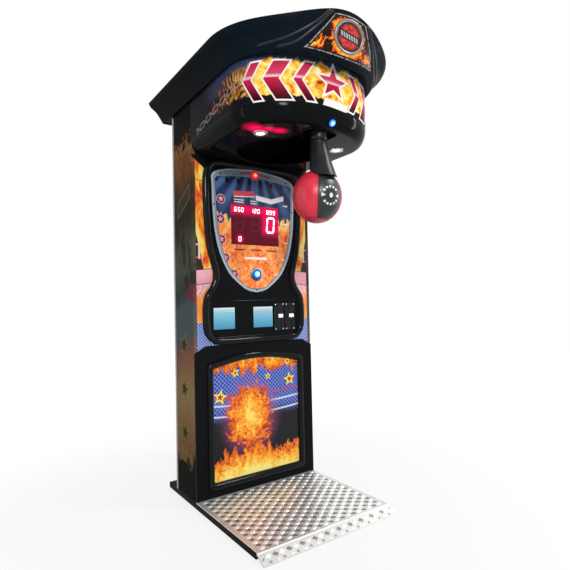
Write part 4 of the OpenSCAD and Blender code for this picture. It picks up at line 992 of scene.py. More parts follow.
def finished(name, mesh, finish, slot, body, *nodes, crease=38.0):
    """Makes a piece of the mesh with its finish, body and the nodes it stands for; the slot argument is
    not used.
    """
    piece = placed(name, mesh)
    if finish:
        mesh.materials.clear()
        mesh.materials.append(finish)
    for face in mesh.polygons:
        face.use_smooth = True
    mesh.set_sharp_from_angle(angle=radians(crease))
    if nodes:
        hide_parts(*nodes)
    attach(piece, body)
    return piece


def evaluated(piece):
    """Plain mesh of an object with its modifiers applied; the object itself is removed."""
    graph = bpy.context.evaluated_depsgraph_get()
    mesh = bpy.data.meshes.new_from_object(piece.evaluated_get(graph), depsgraph=graph)
    bpy.data.objects.remove(piece)
    return mesh


def with_holes(mesh, cutters):
    """The mesh with every cutter taken out of it."""
    body = placed("blank", mesh)
    tools = [placed("cutter", cutter) for cutter in cutters]
    for tool in tools:
        step = body.modifiers.new("hole", "BOOLEAN")
        step.operation = "DIFFERENCE"
        step.solver = "EXACT"
        step.object = tool
    bpy.context.view_layer.update()
    result = evaluated(body)
    for tool in tools:
        bpy.data.objects.remove(tool)
    return result


def prism(name, outline, low, high, place=lambda x, y, z: (x, y, z)):
    """Straight prism of an outline of (x, y) between two heights, put in place point by point."""
    return loft(name, [[Vector(place(x, y, h)) for x, y in outline] for h in (low, high)])


def lathe(name, profile, steps):
    """Solid of revolution round Z of a closed profile of (radius, height)."""
    rings = [[Vector((r * cos(a), r * sin(a), h)) for a in turns(steps)] for r, h in profile]
    return loft(name, rings, wrap=True)


def spread(name, template, places, finish, slot, body, *nodes, crease=38.0):
    """Copies of a template mesh at places of (point, turn), by Geometry Nodes, kept as one mesh."""
    holder = placed(name + "_places", bpy.data.meshes.new(name + "_places"))
    holder.data.from_pydata([tuple(p) for p, _ in places], [], [])
    turn = holder.data.attributes.new("turn", "FLOAT_VECTOR", "POINT")
    turn.data.foreach_set("vector", [c for _, t in places for c in t])
    pattern = placed(name + "_template", template)
    tree = copies_tree(name, finish)
    modifier = holder.modifiers.new("copies", "NODES")
    modifier.node_group = tree
    for item in tree.interface.items_tree:
        if item.name == "Template":
            modifier[item.identifier] = pattern
    bpy.context.view_layer.update()
    mesh = evaluated(holder)
    bpy.data.objects.remove(pattern)
    return finished(name, mesh, None, slot, body, *nodes, crease=crease)


def copies_tree(name, finish):
    """Geometry Nodes tree: puts the template on every point, turned by the attribute named turn."""
    tree = bpy.data.node_groups.new(name + "_tree", "GeometryNodeTree")
    tree.interface.new_socket("Places", in_out="INPUT", socket_type="NodeSocketGeometry")
    tree.interface.new_socket("Template", in_out="INPUT", socket_type="NodeSocketObject")
    tree.interface.new_socket("Geometry", in_out="OUTPUT", socket_type="NodeSocketGeometry")
    start, end, points, source, turn, copies, solid, paint = (tree.nodes.new(kind) for kind in (
        "NodeGroupInput", "NodeGroupOutput", "GeometryNodeMeshToPoints", "GeometryNodeObjectInfo",
        "GeometryNodeInputNamedAttribute", "GeometryNodeInstanceOnPoints", "GeometryNodeRealizeInstances",
        "GeometryNodeSetMaterial"))
    turn.data_type = "FLOAT_VECTOR"
    turn.inputs["Name"].default_value = "turn"
    paint.inputs["Material"].default_value = finish
    for source_node, result, target, entry in (
            (start, "Places", points, "Mesh"), (start, "Template", source, "Object"),
            (points, "Points", copies, "Points"), (source, "Geometry", copies, "Instance"),
            (turn, "Attribute", copies, "Rotation"), (copies, "Instances", solid, "Geometry"),
            (solid, "Geometry", paint, "Geometry"), (paint, "Geometry", end, "Geometry")):
        tree.links.new(source_node.outputs[result], target.inputs[entry])
    return tree


# Outlines that the part's source gives

CONSOLE_HALF = 0.298
WAIST_HALF = 0.240
BEZEL_HALF = 0.291
SPLIT_Z = 0.752
BEZEL_TOP = UNDER_Z - 0.0003
RIDGE_W = 0.034
RIDGE_H = 0.015
DOOR_HALF = 0.283
DOOR_Z0 = 0.066
DOOR_Z1 = 0.673
DOOR_ARCH = 0.034
DOOR_RIDGE_W = 0.033

BEZEL_POINTS = [
    (0.0, SPLIT_Z + 0.0014), (CONSOLE_HALF - 0.110, SPLIT_Z + 0.0014),
    (CONSOLE_HALF - 0.046, SPLIT_Z + 0.014), (CONSOLE_HALF - 0.010, SPLIT_Z + 0.054),
    (CONSOLE_HALF, SPLIT_Z + 0.110), (CONSOLE_HALF, 0.940), (CONSOLE_HALF - 0.012, 0.996),
    (WAIST_HALF + 0.016, 1.040), (WAIST_HALF, 1.090), (WAIST_HALF + 0.012, 1.146),
    (WAIST_HALF + 0.030, 1.215), (BEZEL_HALF - 0.010, 1.295), (BEZEL_HALF - 0.003, 1.400),
    (BEZEL_HALF, 1.510), (BEZEL_HALF - 0.004, BEZEL_TOP - 0.084), (BEZEL_HALF - 0.024, BEZEL_TOP - 0.034),
    (BEZEL_HALF - 0.076, BEZEL_TOP - 0.004), (0.0, BEZEL_TOP),
]


def door_half_line(depth):
    """Right half of the arched outline round the lower picture, drawn depth inside its outer edge."""
    half, low, high = DOOR_HALF - depth, DOOR_Z0 + depth, DOOR_Z1 - depth
    bend = max(0.008, 0.028 - 0.6 * depth)
    line = [(0.0, low)]
    line += [(half - bend + bend * sin(radians(i * 9)), low + bend - bend * cos(radians(i * 9)))
             for i in range(11)]
    line += [(half - bend + bend * cos(radians(i * 9)), high - bend + bend * sin(radians(i * 9)))
             for i in range(9)]
    for i in range(1, 22):
        x = (half - bend) * (1 - i / 21)
        line.append((x, high + DOOR_ARCH * (1 - (x / (half - bend)) ** 2)))
    return line


RIDGE_PROFILE = [(0.0, 0.0), (0.035, 0.36), (0.07, 0.64), (0.16, 0.85), (0.28, 0.97), (0.39, 1.01),
                 (0.5, 1.02), (0.62, 0.98), (0.74, 0.87), (0.83, 0.66), (0.92, 0.34), (0.985, 0.0)]


def ridge_mesh(name, outline_at, width):
    """Smooth moulded ridge over the sheet: outline_at(depth) gives its closed outlines from out to in."""
    rings = []
    for share, rise in RIDGE_PROFILE:
        height = rise * RIDGE_H + (0.0004 if rise > 0 else -0.0008)
        rings.append([Vector((x, SHEET_Y - height, z)) for x, z in outline_at(share * width)])
    return loft(name, rings, wrap=True)


# Visor: height, half width, start of the curve, reach and share of the front's lift, level by level

VISOR_LEVELS = [
    (CAB_TOP - 0.004, HALF_W + 0.007, BAND_Y0, BAND_FRONT_Y - 0.007, 0.0),
    (CAB_TOP - 0.0035, HALF_W + 0.012, BAND_Y0 + 0.001, BAND_FRONT_Y - 0.050, -0.6),
    (CAB_TOP + 0.009, HALF_W + 0.020, BAND_Y0 + 0.003, BAND_FRONT_Y - 0.072, -0.65),
    (CAB_TOP + 0.046, HALF_W + 0.047, BAND_Y0 + 0.004, BAND_FRONT_Y - 0.095, 0.0),
    (CAB_TOP + 0.068, VISOR_HALF - 0.011, VISOR_Y0 - 0.004, VISOR_FRONT_Y + 0.010, 0.6),
    (VISOR_WIDE_Z, VISOR_HALF, VISOR_Y0, VISOR_FRONT_Y, 1.0),
    (VISOR_WIDE_Z + 0.005, VISOR_HALF - 0.007, VISOR_Y0, VISOR_FRONT_Y + 0.006, 1.0),
    (VISOR_WIDE_Z + 0.009, VISOR_HALF - 0.026, VISOR_Y0 + 0.004, VISOR_FRONT_Y + 0.024, 0.9),
    (VISOR_WIDE_Z + 0.011, VISOR_HALF - 0.060, VISOR_Y0 + 0.010, VISOR_FRONT_Y + 0.058, 0.6),
    (VISOR_WIDE_Z + 0.012, VISOR_HALF - 0.110, VISOR_Y0 + 0.020, VISOR_FRONT_Y + 0.110, 0.0),
]
LEVEL_STEPS = 8
VISOR_FINE = smooth_line(VISOR_LEVELS, LEVEL_STEPS)
FACE_LEVELS = 5


def crest_lift(x, y, y0):
    """Share of the lift at a point: the front rises most on the middle line."""
    if y > y0:
        return 0.0
    return ((y0 - y) / (y0 - VISOR_FRONT_Y)) ** 2 * cos(radians(min(90.0, abs(x) * 1000 / 4.2))) ** 2


def visor_ring(level, wall=0.0, drop=0.0):
    z, half, y0, yf, lift = level
    return [Vector((x, y, z + VISOR_LIFT * lift * crest_lift(x, y, y0) - drop))
            for x, y in plan(half - wall, REAR_Y - wall, y0, yf + wall, 112)]


def face_point(x, share, out=0.0):
    """Point on the visor's front: share runs from its lower edge, 0, to its widest line, 1."""
    place = share * FACE_LEVELS * LEVEL_STEPS
    low = min(int(place), FACE_LEVELS * LEVEL_STEPS - 1)
    t = place - low
    z, half, y0, yf, lift = (a + (b - a) * t for a, b in zip(VISOR_FINE[low], VISOR_FINE[low + 1]))
    y = y0 - (y0 - yf) * sqrt(1 - (x / half) ** 2)
    return Vector((x, y - out * 0.8, z + VISOR_LIFT * lift * crest_lift(x, y, y0) - out * 0.6))


BADGE_RIM = 0.013
BADGE_OUT = 0.007
BADGE_PLACE = face_point(0.0, 0.65)


def in_badge(x, y, z):
    """Place of a point given in the badge's own frame, whose Z looks out of the visor."""
    return BADGE_PLACE + Matrix.Rotation(radians(90.0) + BADGE_TILT, 3, "X") @ Vector((x, y, z))


def badge_oval(inwards):
    return [((BADGE_A - inwards) * cos(a), (BADGE_B - inwards) * sin(a)) for a in turns(96)]


def keyhole(grow):
    """Outline of the opening for the ball with its slot for the arm, counter-clockwise from the right."""
    a, b, slot = KEYHOLE_A + grow, KEYHOLE_B + grow, SLOT_HALF + grow
    meet = acos(slot / a)
    line = [(a * cos(t), KEYHOLE_Y + b * sin(t))
            for t in (-meet + (2 * pi - (pi - 2 * meet)) * i / 90 for i in range(91))]
    line += [(slot * cos(pi + pi * i / 24), SLOT_Y + (SLOT_DEEP + grow) * sin(pi + pi * i / 24))
             for i in range(25)]
    return line


def in_arm(point):
    """Place of a point given in the frame of the arm, which hangs down from its pivot."""
    return PIVOT + Matrix.Rotation(ARM_LEAN, 3, "X") @ Vector(point)


START_TILT = radians(48.0)
START_TURN = Matrix.Rotation(radians(90.0) + START_TILT - radians(8.0), 3, "X")
START_OUT = START_TURN @ Vector((0.0, 0.0, 1.0))
START_PLACE = Vector((0.0, BAND_FRONT_Y + RIM_IN * (1 - cos(START_TILT)),
                      BAND_Z - (BAND_Z - UNDER_Z) * sin(START_TILT)))


def turned(matrix):
    return tuple(matrix.to_euler())


def facing_front(spin):
    """Turn that points a template's Z out of the cabinet's front."""
    return Matrix.Rotation(radians(90.0), 3, "X") @ Matrix.Rotation(spin, 3, "Z")


# Camera, light and floor

ROOM_LIGHT = 0.16
CAMERA_PLACE = (-1.2474, -1.8634, 0.9587)
CAMERA_YAW = radians(-35.30)
CAMERA_PITCH = radians(-1.71)
CAMERA_ROLL = radians(-1.21)
CAMERA_SHIFT = (-0.0077, 0.0040)
CAMERA_LENS = 29.51
LAMPS = [
    ("key lamp", (-1.7, -3.6, 2.6), (0.0, -0.1, 1.0), (0.6, 0.6), 105.0, (1.0, 0.99, 0.97)),
    ("left strip", (-3.4, 0.4, 1.4), (-0.2, 0.0, 1.1), (0.08, 2.2), 14.0, (0.95, 0.98, 1.0)),
    ("right strip", (3.2, -1.3, 1.7), (0.1, -0.2, 1.2), (0.12, 2.0), 24.0, (1.0, 1.0, 1.0)),
    ("top lamp", (2.2, -2.0, 4.2), (0.0, -0.1, 0.4), (0.55, 0.55), 66.0, (1.0, 1.0, 1.0)),
]


def seen_directly(tree):
    """1 where the camera sees it, straight, in a mirror or through glass; 0 for the light it gives."""
    path = tree.nodes.new("ShaderNodeLightPath")
    either = path.outputs["Is Camera Ray"]
    for name in ("Is Glossy Ray", "Is Transmission Ray"):
        wider = tree.nodes.new("ShaderNodeMath")
        wider.operation = "MAXIMUM"
        tree.links.new(either, wider.inputs[0])
        tree.links.new(path.outputs[name], wider.inputs[1])
        either = wider.outputs[0]
    return either


class MACHINE_OT_stage(bpy.types.Operator):
    """Set up the photograph's camera, soft studio light and the pale floor"""

    bl_idname = "machine.stage"
    bl_label = "Stage"

    def execute(self, context):
        scene = context.scene
        scene.view_settings.view_transform = "Standard"
        level = cos(CAMERA_PITCH)
        back = Vector((sin(CAMERA_YAW) * level, -cos(CAMERA_YAW) * level, sin(CAMERA_PITCH)))
        right = (-back).cross(Vector((0, 0, 1))).normalized()
        up = right.cross(-back).normalized()
        tilted_right = right * cos(CAMERA_ROLL) + up * sin(CAMERA_ROLL)
        tilted_up = up * cos(CAMERA_ROLL) - right * sin(CAMERA_ROLL)
        data = bpy.data.cameras.new("camera")
        data.lens = CAMERA_LENS
        data.sensor_width = 36.0
        data.shift_x, data.shift_y = CAMERA_SHIFT
        data.clip_end = 60.0
        camera = placed("camera", data)
        turn = Matrix((tilted_right, tilted_up, back)).transposed().to_4x4()
        camera.matrix_world = Matrix.Translation(CAMERA_PLACE) @ turn
        scene.camera = camera
        self.lamps()
        self.surroundings(scene)
        return {"FINISHED"}

    def lamps(self):
        for name, place, aim, size, power, colour in LAMPS:
            data = bpy.data.lights.new(name, "AREA")
            data.shape = "RECTANGLE"
            data.size, data.size_y = size
            data.energy = power
            data.color = colour
            turn = (Vector(aim) - Vector(place)).to_track_quat("-Z", "Y").to_matrix().to_4x4()
            placed(name, data).matrix_world = Matrix.Translation(place) @ turn

    def surroundings(self, scene):
        world = bpy.data.worlds.new("studio")
        world.use_nodes = True
        scene.world = world
        tree = world.node_tree
        shade = tree.nodes["Background"]
        strength = tree.nodes.new("ShaderNodeMath")
        strength.operation = "MULTIPLY_ADD"
        strength.inputs[1].default_value = 1.0 - ROOM_LIGHT
        strength.inputs[2].default_value = ROOM_LIGHT
        tree.links.new(seen_directly(tree), strength.inputs[0])
        tree.links.new(strength.outputs[0], shade.inputs["Strength"])
        shade.inputs["Color"].default_value = (1.0, 1.0, 1.0, 1.0)
        points = [(-7, -7, 0), (7, -7, 0), (7, 7, 0), (-7, 7, 0)]
        floor = placed("floor", new_mesh("floor", points, [(0, 1, 2, 3)], outward=False))
        finish = Finish("Pale floor", rough=0.6, gloss=0.2, glow=(1.0, 1.0, 1.0))
        x, y, z = finish.xyz()
        away = distance(x, y).step(0.5, 2.8)
        share = (away * 0.20 + 0.80) * Value(finish, seen_directly(finish.tree))
        pale = finish.done(colour=share.mix((0.80, 0.80, 0.80), (0.0, 0.0, 0.0)), glow_strength=share)
        floor.data.materials.append(pale)


# Finishes of the nodes that keep their CAD shape


def display_edge(x, z):
    """Distance inside the display panel's outline, from its half width at every height."""
    finish = x.finish
    line = smooth_line(DISPLAY_POINTS, 6)
    low, high = DISPLAY_POINTS[0][1], DISPLAY_POINTS[-1][1]
    stops = []
    for share in (0.0, 0.03, 0.08, 0.15, 0.22, 0.30, 0.40, 0.50, 0.60, 0.70, 0.80, 0.90, 0.94, 0.97, 1.0):
        height = low + share * (high - low)
        nearest = min(line, key=lambda q: abs(q[1] - height))
        stops.append((share, (nearest[0] * 2.0,) * 3))
    half = ((z - low) / (high - low)).ramp(stops) * 0.5
    sideways = half - abs(x)
    crown = high - x * x * 0.60 - z
    bowl = finish.math("SQRT", x * x + finish.math("POWER", most(1.20 - z, 0.0), 2.0) * 1.12)
    under = (0.203 - bowl) * z.step(1.21, 1.17) + sideways * z.step(1.17, 1.21)
    return least(least(sideways * 0.96, crown), under)


class MACHINE_OT_cad_finishes(bpy.types.Operator):
    """Give every CAD node that stays in sight its own finish"""

    bl_idname = "machine.cad_finishes"
    bl_label = "Finishes of the CAD nodes"

    def execute(self, context):
        glow = look().lamp_glow
        steel = plain_metal("Bright steel", (0.55, 0.56, 0.57), 0.26)
        sheet = brushed_metal("Zinc sheet", (0.50, 0.51, 0.52), 0.38, (30.0, 600.0, 600.0))
        moulding = gloss_moulding("Gloss black moulding", 0.04, 0.07)
        side = side_print()
        red_lamp = lamp("Red lamp", (1.0, 0.26, 0.070), (0.95, 0.008, 0.030), glow, SELECT_PLACE, 0.020)
        key_lamp = lit_key()
        # Painted glow: the ring round the select lamp is no lamp, but glows faintly red as the lamp's
        # halo.
        red_ring_painted_glow = Finish("Red ring painted glow", colour=(0.42, 0.008, 0.012), rough=0.25,
                          glow=(0.9, 0.02, 0.05), glow_strength=0.35)
        red_ring_painted_glow.set(normal=red_ring_painted_glow.grain(300.0).bump(0.0002, 0.3))
        finishes = {
            "base_frame": powder_coat("Base black", (0.008, 0.008, 0.009)),
            "tread_plate": tread_metal("Tread aluminium", (0.82, 0.82, 0.80), (0.52, 0.51, 0.49),
                                       0.30, 0.62),
            "wheel_brackets": steel, "wheel_axles": steel,
            "wheel_left": rubber("Wheel rubber"), "wheel_right": rubber("Wheel rubber right"),
            "side_panel_left": side, "side_panel_right": side,
            "front_board": front_print(),
            "cabinet_rails": black_board("Rails black"),
            "edge_trims": brushed_metal("Edge aluminium", (0.30, 0.31, 0.31), 0.34, (700.0, 700.0, 12.0)),
            "rear_door": black_board("Door black"),
            "hinge_leaves_fixed": steel, "hinge_leaves_door": steel, "hinge_pins": steel,
            "rear_lock": plain_metal("Lock chrome", (0.60, 0.60, 0.61), 0.14), "lock_strike": sheet,
            "lower_moulding": moulding, "console_moulding": moulding,
            "picture_panel": picture_print(),
            "display_panel": display_print(),
            "display_window": clear_dark_window(),
            "display_board": circuit_board(), "control_board": circuit_board(),
            "impact_sensor": circuit_board(),
            "select_ring": red_ring_painted_glow.material,
            "select_button": red_lamp,
            # The menu ring's inner slope carries a painted blue reflection of the lamp, driven by the
            # lamp glow.
            "menu_ring": menu_chrome(glow * 0.75),
            "menu_button": lamp("Blue lamp", (0.62, 0.95, 1.0), (0.006, 0.20, 0.85), glow * 0.9,
                                MENU_PLACE, 0.027),
            "info_plates": info_print(),
            "coin_plates": coin_black(),
            "coin_key_left": key_lamp, "coin_key_right": key_lamp,
            "coin_mechanisms": powder_coat("Mechanism grey", (0.05, 0.052, 0.056)),
            "coin_chute": sheet, "cash_box": powder_coat("Cash box grey", (0.09, 0.092, 0.096)),
            "power_supply": sheet,
            "badge_disc": badge_red(),
            "spot_rings": plain_metal("Spot ring chrome", (0.50, 0.48, 0.48), 0.18),
            "spot_lenses": lamp("Spot lens", (1.0, 0.93, 0.90), (1.0, 0.50, 0.54), glow * 1.3,
                                (SPOT_X, SPOT_Y, UNDER_Z), 0.024),
            "start_ring": powder_coat("Start ring black", (0.006, 0.006, 0.007), 0.25),
            "start_button": lamp("Start lamp", (0.60, 0.92, 1.0), (0.004, 0.11, 0.95), glow * 1.2,
                                 START_PLACE + START_OUT * 0.0085, 0.0175),
            "head_frame": powder_coat("Frame grey", (0.035, 0.037, 0.040)),
            "pivot_shaft": steel, "pivot_bearings": plain_metal("Bearing steel", (0.58, 0.58, 0.59), 0.2),
            "arm_tube": powder_coat("Arm steel black", (0.012, 0.012, 0.013), 0.30),
            "stop_buffers": rubber("Buffer rubber"),
            "latch_solenoid": powder_coat("Solenoid grey", (0.06, 0.062, 0.066)), "latch_plunger": steel,
        }
        for name, material in finishes.items():
            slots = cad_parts[name].data.materials
            if len(slots) == 0:
                slots.append(material)
            for i in range(len(slots)):
                slots[i] = material
        return {"FINISHED"}


# Head


class MACHINE_OT_visor(bpy.types.Operator):
    """Build the satin visor with its moulded beads, the crest insert and the oval badge"""

    bl_idname = "machine.visor"
    bl_label = "Visor, crest and badge"

    def execute(self, context):
        satin = satin_visor()
        wall = HEAD_WALL
        inner = []
        for level in VISOR_FINE:
            above = min(1.0, max(0.0, (level[0] - VISOR_WIDE_Z) / 0.014))
            below = min(1.0, max(0.0, (CAB_TOP + 0.056 - level[0]) / 0.030))
            inner.append(visor_ring(level, wall, wall * above - 0.005 * below))
        outer = [visor_ring(level) for level in VISOR_FINE]
        shell = loft("visor", list(reversed(inner)) + outer)
        hole = prism("badge_hole", badge_oval(0.0), -0.040, 0.040, in_badge)
        finished("visor", with_holes(shell, [hole]), satin, "visor_black", "machine", "visor_shell")
        ledge = [[Vector((x, y, z)) for x, y in plan(half, rear, BAND_Y0, reach)]
                 for half, rear, reach, z in (
                     (HALF_W + 0.005, REAR_Y - 0.002, BAND_FRONT_Y - 0.005, CAB_TOP),
                     (HALF_W + 0.005, REAR_Y - 0.002, BAND_FRONT_Y - 0.005, CAB_TOP + wall),
                     (HALF_W - 0.030, REAR_Y - 0.040, BAND_FRONT_Y + 0.030, CAB_TOP + wall),
                     (HALF_W - 0.030, REAR_Y - 0.040, BAND_FRONT_Y + 0.030, CAB_TOP))]
        finished("visor_ledge", loft("visor_ledge", ledge, wrap=True), satin, "visor_black", "machine")
        self.crest()
        self.badge()
        self.beads()
        return {"FINISHED"}

    def crest(self):
        """Crest insert: a triangle with blunt top, rounded along its border, that follows the visor."""
        rows, columns = 44, 84
        front, back, places = [], [], []
        for j in range(rows + 1):
            share = j / rows
            half = CREST_LOW_HALF + (CREST_TOP_HALF - CREST_LOW_HALF) * share ** 0.9
            level = CREST_LOW + (CREST_HIGH - CREST_LOW) * share
            for i in range(columns + 1):
                across = 2.0 * i / columns - 1.0
                edge = min((1 - abs(across)) * half, share * CREST_H, (1 - share) * CREST_H)
                rise = 0.0010 + 0.0030 * sqrt(1 - (1 - min(1.0, edge / 0.004)) ** 2)
                front.append(face_point(half * across, level, rise))
                back.append(face_point(half * across, level, 0.0002))
                places.append((across / 2 + 0.5, share))
        count = len(front)
        faces = ring_faces(rows + 1, columns + 1, closed=False)
        faces += [tuple(count + i for i in reversed(face)) for face in faces]
        width = columns + 1
        border = ([i for i in range(columns)] + [j * width + columns for j in range(rows)]
                  + [rows * width + i for i in range(columns, 0, -1)]
                  + [j * width for j in range(rows, 0, -1)])
        for a, b in zip(border, border[1:] + border[:1]):
            faces.append((a, count + a, count + b, b))
        mesh = new_mesh("crest_insert", front + back, faces)
        layer = mesh.uv_layers.new(name=CREST_MAP)
        for loop in mesh.loops:
            layer.data[loop.index].uv = places[loop.vertex_index % count]
        hole = prism("badge_hole", badge_oval(0.0), -0.040, 0.040, in_badge)
        finished("crest_insert", with_holes(mesh, [hole]), crest_print(), "crest_print", "machine",
                 "crest_plate")

    def badge(self):
        profile = [(0.0003, -0.016), (0.0003, 0.0030), (0.0010, 0.0052), (0.0026, 0.0066),
                   (0.0046, BADGE_OUT), (0.0075, 0.0068), (0.0100, 0.0058), (0.0118, 0.0040),
                   (0.0127, 0.0015), (BADGE_RIM, -0.004), (BADGE_RIM, -0.016)]
        rings = [[in_badge(x, y, h) for x, y in badge_oval(d)] for d, h in profile]
        finished("badge_bezel", loft("badge_bezel", rings, wrap=True), badge_grey(), "badge_grey",
                 "machine", "badge_ring")

    def beads(self):
        """Two moulded lines that run from the crest's top down to the lip on each side."""
        # Painted sheen and wear: the beads are a little lighter than the visor, standing for their soft
        # highlights, and mottled at random.
        rubbed = Finish("Bead painted sheen and wear", gloss=0.25)
        wear = rubbed.grain(70.0, 4.0, 0.6)
        rubbed.set(colour=wear.mix((0.006, 0.008, 0.011), (0.014, 0.017, 0.021)),
                   rough=wear * 0.12 + 0.26, normal=wear.bump(0.0003, 0.3))
        for name, points in BEAD_LINES.items():
            for side, mark in ((-1.0, "left"), (1.0, "right")):
                path = [face_point(side * x, share, -BEAD_SUNK) for x, share in smooth_line(points, 10)]
                bead = tube(name + "_" + mark, path, BEAD_R, 14)
                finished(name + "_" + mark, bead, rubbed.material, "visor_black", "machine")


# Beads beside the crest: points of (x, share of the visor's front), from top to lip
BEAD_LINES = {
    "crest_bead_inner": [(0.086, 0.965), (0.112, 0.86), (0.150, 0.68), (0.184, 0.54), (0.218, 0.45),
                         (0.262, 0.38)],
    "crest_bead_outer": [(0.098, 0.985), (0.128, 0.86), (0.172, 0.70), (0.216, 0.57), (0.262, 0.49),
                         (0.315, 0.44)],
}
BEAD_R = 0.0065
BEAD_SUNK = 0.0035

# Steps round the curve of the sign band and of the rim
HEAD_STEPS = 140


class MACHINE_OT_head_rim(bpy.types.Operator):
    """Build the smooth sign band and the rolled gloss rim with the opening for the ball"""

    bl_idname = "machine.head_rim"
    bl_label = "Sign band and rim"

    def execute(self, context):
        rear = FRONT_Y - 0.0003
        outer = plan(HALF_W, rear, BAND_Y0, BAND_FRONT_Y, HEAD_STEPS)
        inner = plan(HALF_W - HEAD_WALL, rear, BAND_Y0, BAND_FRONT_Y + HEAD_WALL, HEAD_STEPS)
        strip = [[Vector((*o, BAND_Z + 0.0001)), Vector((*o, CAB_TOP)), Vector((*i, CAB_TOP)),
                  Vector((*i, BAND_Z + 0.0001))] for o, i in zip(outer, inner)]
        finished("band", loft("band", strip), band_print(), "band_print", "machine", "sign_band")
        rim = gloss_rim()
        finished("rim", self.rim_mesh(rear), rim, "moulding_black", "machine", "head_underside",
                 crease=50.0)
        edge = [[Vector((x, y, UNDER_Z + 0.0042 * sin(a))) for x, y in keyhole(0.0024 + 0.0028 * cos(a))]
                for a in turns(14)]
        finished("keyhole_bead", loft("keyhole_bead", edge, wrap=True), rim, "moulding_black", "machine")
        return {"FINISHED"}

    def rim_mesh(self, rear):
        drop = BAND_Z - UNDER_Z
        steps = 22
        outer, inner = [], []
        for i in range(steps + 1):
            angle = pi / 2 * i / steps
            step_in = RIM_IN * (1 - cos(angle))
            for rings, wall in ((outer, 0.0), (inner, HEAD_WALL)):
                height = BAND_Z - (drop - wall) * sin(angle)
                line = plan(HALF_W - step_in - wall, rear - wall, BAND_Y0, BAND_FRONT_Y + step_in + wall,
                            HEAD_STEPS)
                rings.append([Vector((x, y, height)) for x, y in line])
        shell = loft("rim", list(reversed(inner)) + outer)
        holes = [prism("keyhole", keyhole(0.0), UNDER_Z - 0.01, UNDER_Z + 0.02)]
        for side in (-1, 1):
            ring = [(side * SPOT_X + SPOT_HOLE_R * cos(a), SPOT_Y + SPOT_HOLE_R * sin(a))
                    for a in turns(48)]
            holes.append(prism("spot_hole", ring, UNDER_Z - 0.01, UNDER_Z + 0.02))
        ring = [(START_HOLE_R * cos(a), START_HOLE_R * sin(a)) for a in turns(48)]
        holes.append(prism("start_hole", ring, -0.02, 0.02,
                           lambda x, y, h: START_PLACE + START_TURN @ Vector((x, y, h))))
        return with_holes(shell, holes)


def gloss_rim():
    """Gloss black rim with smudges, a slight orange-peel skin and a painted red glow on its underside."""
    finish = Finish("Gloss black rim", gloss=0.03)
    x, y, z = finish.xyz()
    smudge = finish.grain(13.0, 6.0, 0.7)
    peel = finish.grain(110.0, 2.0)
    # Painted reflection: a red glow, painted on the gloss underside beside the left spot, stands for the
    # light of the lit pieces mirrored there.
    lit = None
    for px, py, size in ((-0.256, -0.252, 0.050), (-0.162, -0.280, 0.040), (-0.205, -0.272, 0.036)):
        dx, dy = x - px, (y - py) * 1.3
        spot = (distance(dx, dy) + smudge * 0.02).step(size * 1.6, size * 0.5)
        lit = spot if lit is None else most(lit, spot)
    lit = lit * z.step(UNDER_Z + 0.012, UNDER_Z + 0.004)
    return finish.done(
        colour=smudge.mix(tuple(look().moulding), (0.007, 0.008, 0.009)),
        glow=lit.mix((0.0, 0.0, 0.0), (0.95, 0.0, 0.085)), glow_strength=1.0,
        rough=smudge.step(0.35, 0.85) * 0.10 + 0.10,
        normal=(peel * 0.12 + finish.grain(7.0, 2.0)).bump(0.0010, 0.35))


# Front


class MACHINE_OT_ridges(bpy.types.Operator):
    """Lay the smooth moulded ridges round the bezel, the console and the lower picture"""

    bl_idname = "machine.ridges"
    bl_label = "Moulded ridges"

    def execute(self, context):
        gloss = gloss_moulding("Polished ridge black", 0.12, 0.04)
        bezel = whole(smooth_line(BEZEL_POINTS, 12))
        mesh = ridge_mesh("bezel_ridge", lambda d: inset(bezel, d), RIDGE_W)
        panel = inset(whole(smooth_line(DISPLAY_POINTS, 12)), -0.0004)
        cutter = prism("display_pocket", panel, SHEET_Y - 0.030, SHEET_Y + 0.010,
                       lambda x, y, h: (x, h, y))
        mesh = with_holes(mesh, [cutter])
        finished("bezel_ridge", mesh, gloss, "moulding_black", "machine", crease=50.0)
        self.field_edge(gloss)
        mesh = ridge_mesh("door_ridge", lambda d: whole(door_half_line(d)), DOOR_RIDGE_W)
        finished("door_ridge", mesh, gloss, "moulding_black", "machine", crease=50.0)
        return {"FINISHED"}

    def field_edge(self, gloss):
        """Thin bead round the console's sunken field."""
        half, middle, high, corner = 0.262, 0.877, 0.089, 0.024
        outline = [(cx * (half - corner) + corner * cos(a),
                    middle + cz * (high - corner) + corner * sin(a))
                   for cx, cz, first in ((1, 1, 0), (-1, 1, 90), (-1, -1, 180), (1, -1, 270))
                   for a in (radians(first + 9 * k) for k in range(11))]
        rings = [[Vector((x, SHEET_Y - 0.0022 * sin(a), z)) for x, z in inset(outline, 0.0030 * cos(a))]
                 for a in turns(12)]
        finished("field_edge", loft("field_edge", rings, wrap=True), gloss, "moulding_black", "machine")


SEGMENTS = {
    "0": "abcdef", "1": "bc", "2": "abged", "5": "afgcd", "6": "afgecd", "8": "abcdefg", "9": "abcdfg",
}


